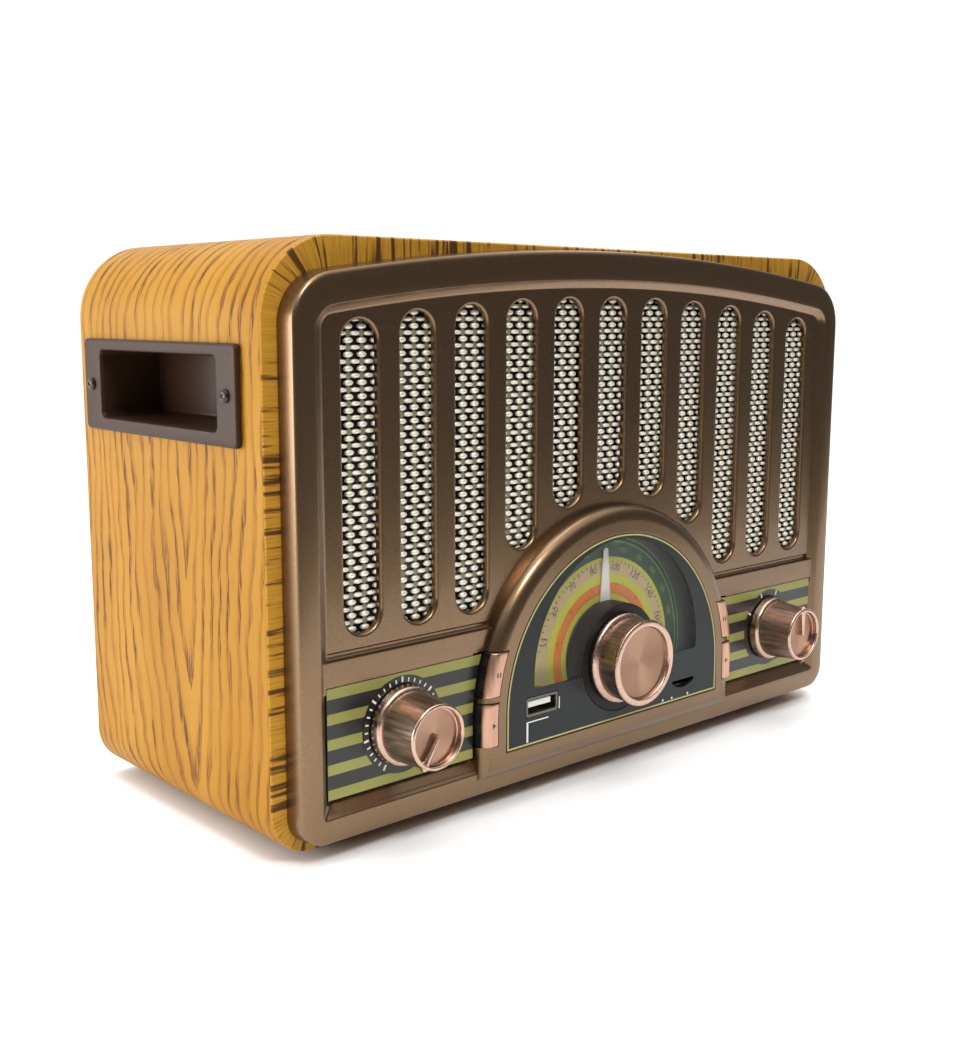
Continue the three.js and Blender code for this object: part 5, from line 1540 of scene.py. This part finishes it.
CARRIED = {
    "steel": ["tuning_shaft", "volume_shaft", "function_shaft", "volume_potentiometer", "function_switch",
              "aux_jack"],
    "gloss_black": ["card_socket"],
    "white_plastic": ["tuning_capacitor"],
    "circuit_board": ["button_board_left", "button_board_right", "media_board", "main_board"],
    "iron": ["speaker_frame_left", "speaker_frame_right", "transformer"],
    "paper": ["speaker_cone_left", "speaker_cone_right"],
    "ferrite": ["ferrite_rod"],
    "black_plastic": ["rear_cover", "antenna_rest", "battery_door", "power_inlet"],
    "battery_wrap": ["battery_pack"],
    "chrome": ["antenna_swivel", "antenna_tube_1", "antenna_tube_2", "antenna_tube_3", "antenna_tube_4",
               "antenna_tip"],
    "rubber": ["foot_front_left", "foot_front_right", "foot_rear_left", "foot_rear_right"],
}


def carried_nodes():
    """The nodes that keep their own shape get softened edges and a material."""
    for material, nodes in CARRIED.items():
        for node in nodes:
            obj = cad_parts[node]
            obj.data.materials.clear()
            obj.data.materials.append(MATERIALS[material])
            soften(obj, 0.25)
            smooth(obj)


# ---------------------------------------------------------------- camera, light and floor

CAMERA_YAW = 42.454
CAMERA_PITCH = 9.093
CAMERA_ROLL = 0.207
CAMERA_LENS = 44.75
CAMERA_SHIFT = (0.0011, 0.0003)


def camera():
    """The camera in front of the radio, to its left and a little above it."""
    data = bpy.data.cameras.new("camera")
    data.lens = CAMERA_LENS
    data.sensor_width = 36
    data.shift_x, data.shift_y = CAMERA_SHIFT
    obj = bpy.data.objects.new("camera", data)
    bpy.context.collection.objects.link(obj)
    yaw, pitch = math.radians(CAMERA_YAW), math.radians(CAMERA_PITCH)
    forward = Vector((
        math.sin(yaw) * math.cos(pitch), math.cos(yaw) * math.cos(pitch), -math.sin(pitch),
    ))
    look = forward.to_track_quat("-Z", "Y")
    obj.rotation_mode = "QUATERNION"
    obj.rotation_quaternion = look @ Quaternion((0, 0, 1), math.radians(CAMERA_ROLL))
    obj.location = Vector((-337.4, at_depth(-309.18), at_height(160.58))) * MM
    bpy.context.scene.camera = obj


def area_light(name, place, aim, size, power, colour=(1, 1, 1)):
    """A rectangular light, in metres and watts, turned towards a point."""
    data = bpy.data.lights.new(name, "AREA")
    data.shape = "RECTANGLE"
    data.size, data.size_y = size
    data.energy = power
    data.color = colour
    obj = bpy.data.objects.new(name, data)
    bpy.context.collection.objects.link(obj)
    obj.location = place
    obj.rotation_mode = "QUATERNION"
    obj.rotation_quaternion = (Vector(aim) - Vector(place)).to_track_quat("-Z", "Y")


FLOOR_FRONT = -0.34  # metres: the paper ends here, in front of the radio, and the room is dark beyond


def floor():
    """The pale paper that the radio stands on."""
    mesh = bpy.data.meshes.new("floor")
    reach = 6
    corners = [(-reach, FLOOR_FRONT), (reach, FLOOR_FRONT), (reach, reach), (-reach, reach)]
    mesh.from_pydata([(x, y, 0) for x, y in corners], [], [(0, 1, 2, 3)])
    obj = loose_object("floor", mesh)
    paint = Shader("floor_paint", Roughness=0.8)
    tone = paint.noise(paint.coordinates(), scale=3)
    paint.set(paint.surface, "Base Color", paint.mix(tone, srgb(246, 246, 246), srgb(249, 249, 249)))
    mesh.materials.append(paint.material)


def surroundings():
    """White behind and overhead, dark in front and low, and plain white where the camera looks."""
    world = bpy.data.worlds.new("studio")
    world.use_nodes = True
    tree = world.node_tree
    def node(kind, inputs):
        made = tree.nodes.new(f"ShaderNode{kind}")
        for socket, value in inputs.items():
            if isinstance(value, bpy.types.NodeSocket):
                tree.links.new(value, made.inputs[socket])
            else:
                made.inputs[socket].default_value = value
        return made
    def spread(value, low, high, out_low, out_high):
        made = node("MapRange", {
            "Value": value, "From Min": low, "From Max": high, "To Min": out_low, "To Max": out_high,
        })
        made.interpolation_type = "SMOOTHSTEP"
        return made.outputs[0]
    direction = node("SeparateXYZ", {"Vector": tree.nodes.new("ShaderNodeTexCoord").outputs["Generated"]})
    in_front = spread(direction.outputs["Z"], 0.45, 0.8, 0.14, 1.5)
    behind = spread(direction.outputs["Z"], 0.0, 0.8, 1.15, 1.5)
    share = spread(direction.outputs["Y"], -0.25, 0.3, 0.0, 1.0)
    light = node("Mix", {0: share, 2: in_front, 3: behind})
    seen = node("LightPath", {}).outputs["Is Camera Ray"]
    shown = node("Mix", {0: seen, 2: light.outputs[0], 3: 1.1})
    tree.links.new(shown.outputs[0], tree.nodes["Background"].inputs["Strength"])
    tree.nodes["Background"].inputs["Color"].default_value = (1, 1, 1, 1)
    bpy.context.scene.world = world


def studio():
    """The floor, the surroundings and three soft lights."""
    floor()
    surroundings()
    area_light("left_low", (-0.9, 0.46, 0.2), (-0.14, -0.04, 0.1), (1.0, 0.4), 8.0, (1, 0.96, 0.93))
    area_light("front_high", (-0.3, -0.75, 0.95), (0, 0, 0.08), (0.34, 0.26), 6)
    area_light("overhead", (0.1, 0.1, 1.5), (0, 0, 0.1), (1.2, 1.2), 12)
    bpy.context.scene.view_settings.view_transform = "Standard"


# ---------------------------------------------------------------- everything

camera()
cabinet()
bezel()
buttons()
grille_mesh()
speaker_cloth()
control_panels()
dial()
lens()
pointer()
tuning_knob()
small_knobs()
handle_cups()
for screw_number in range(1, 5):
    screw_head(f"rear_screw_{screw_number}", Vector((0, 1, 0)), "steel", 3.4, turn=20 * screw_number)
sockets()
carried_nodes()
studio()
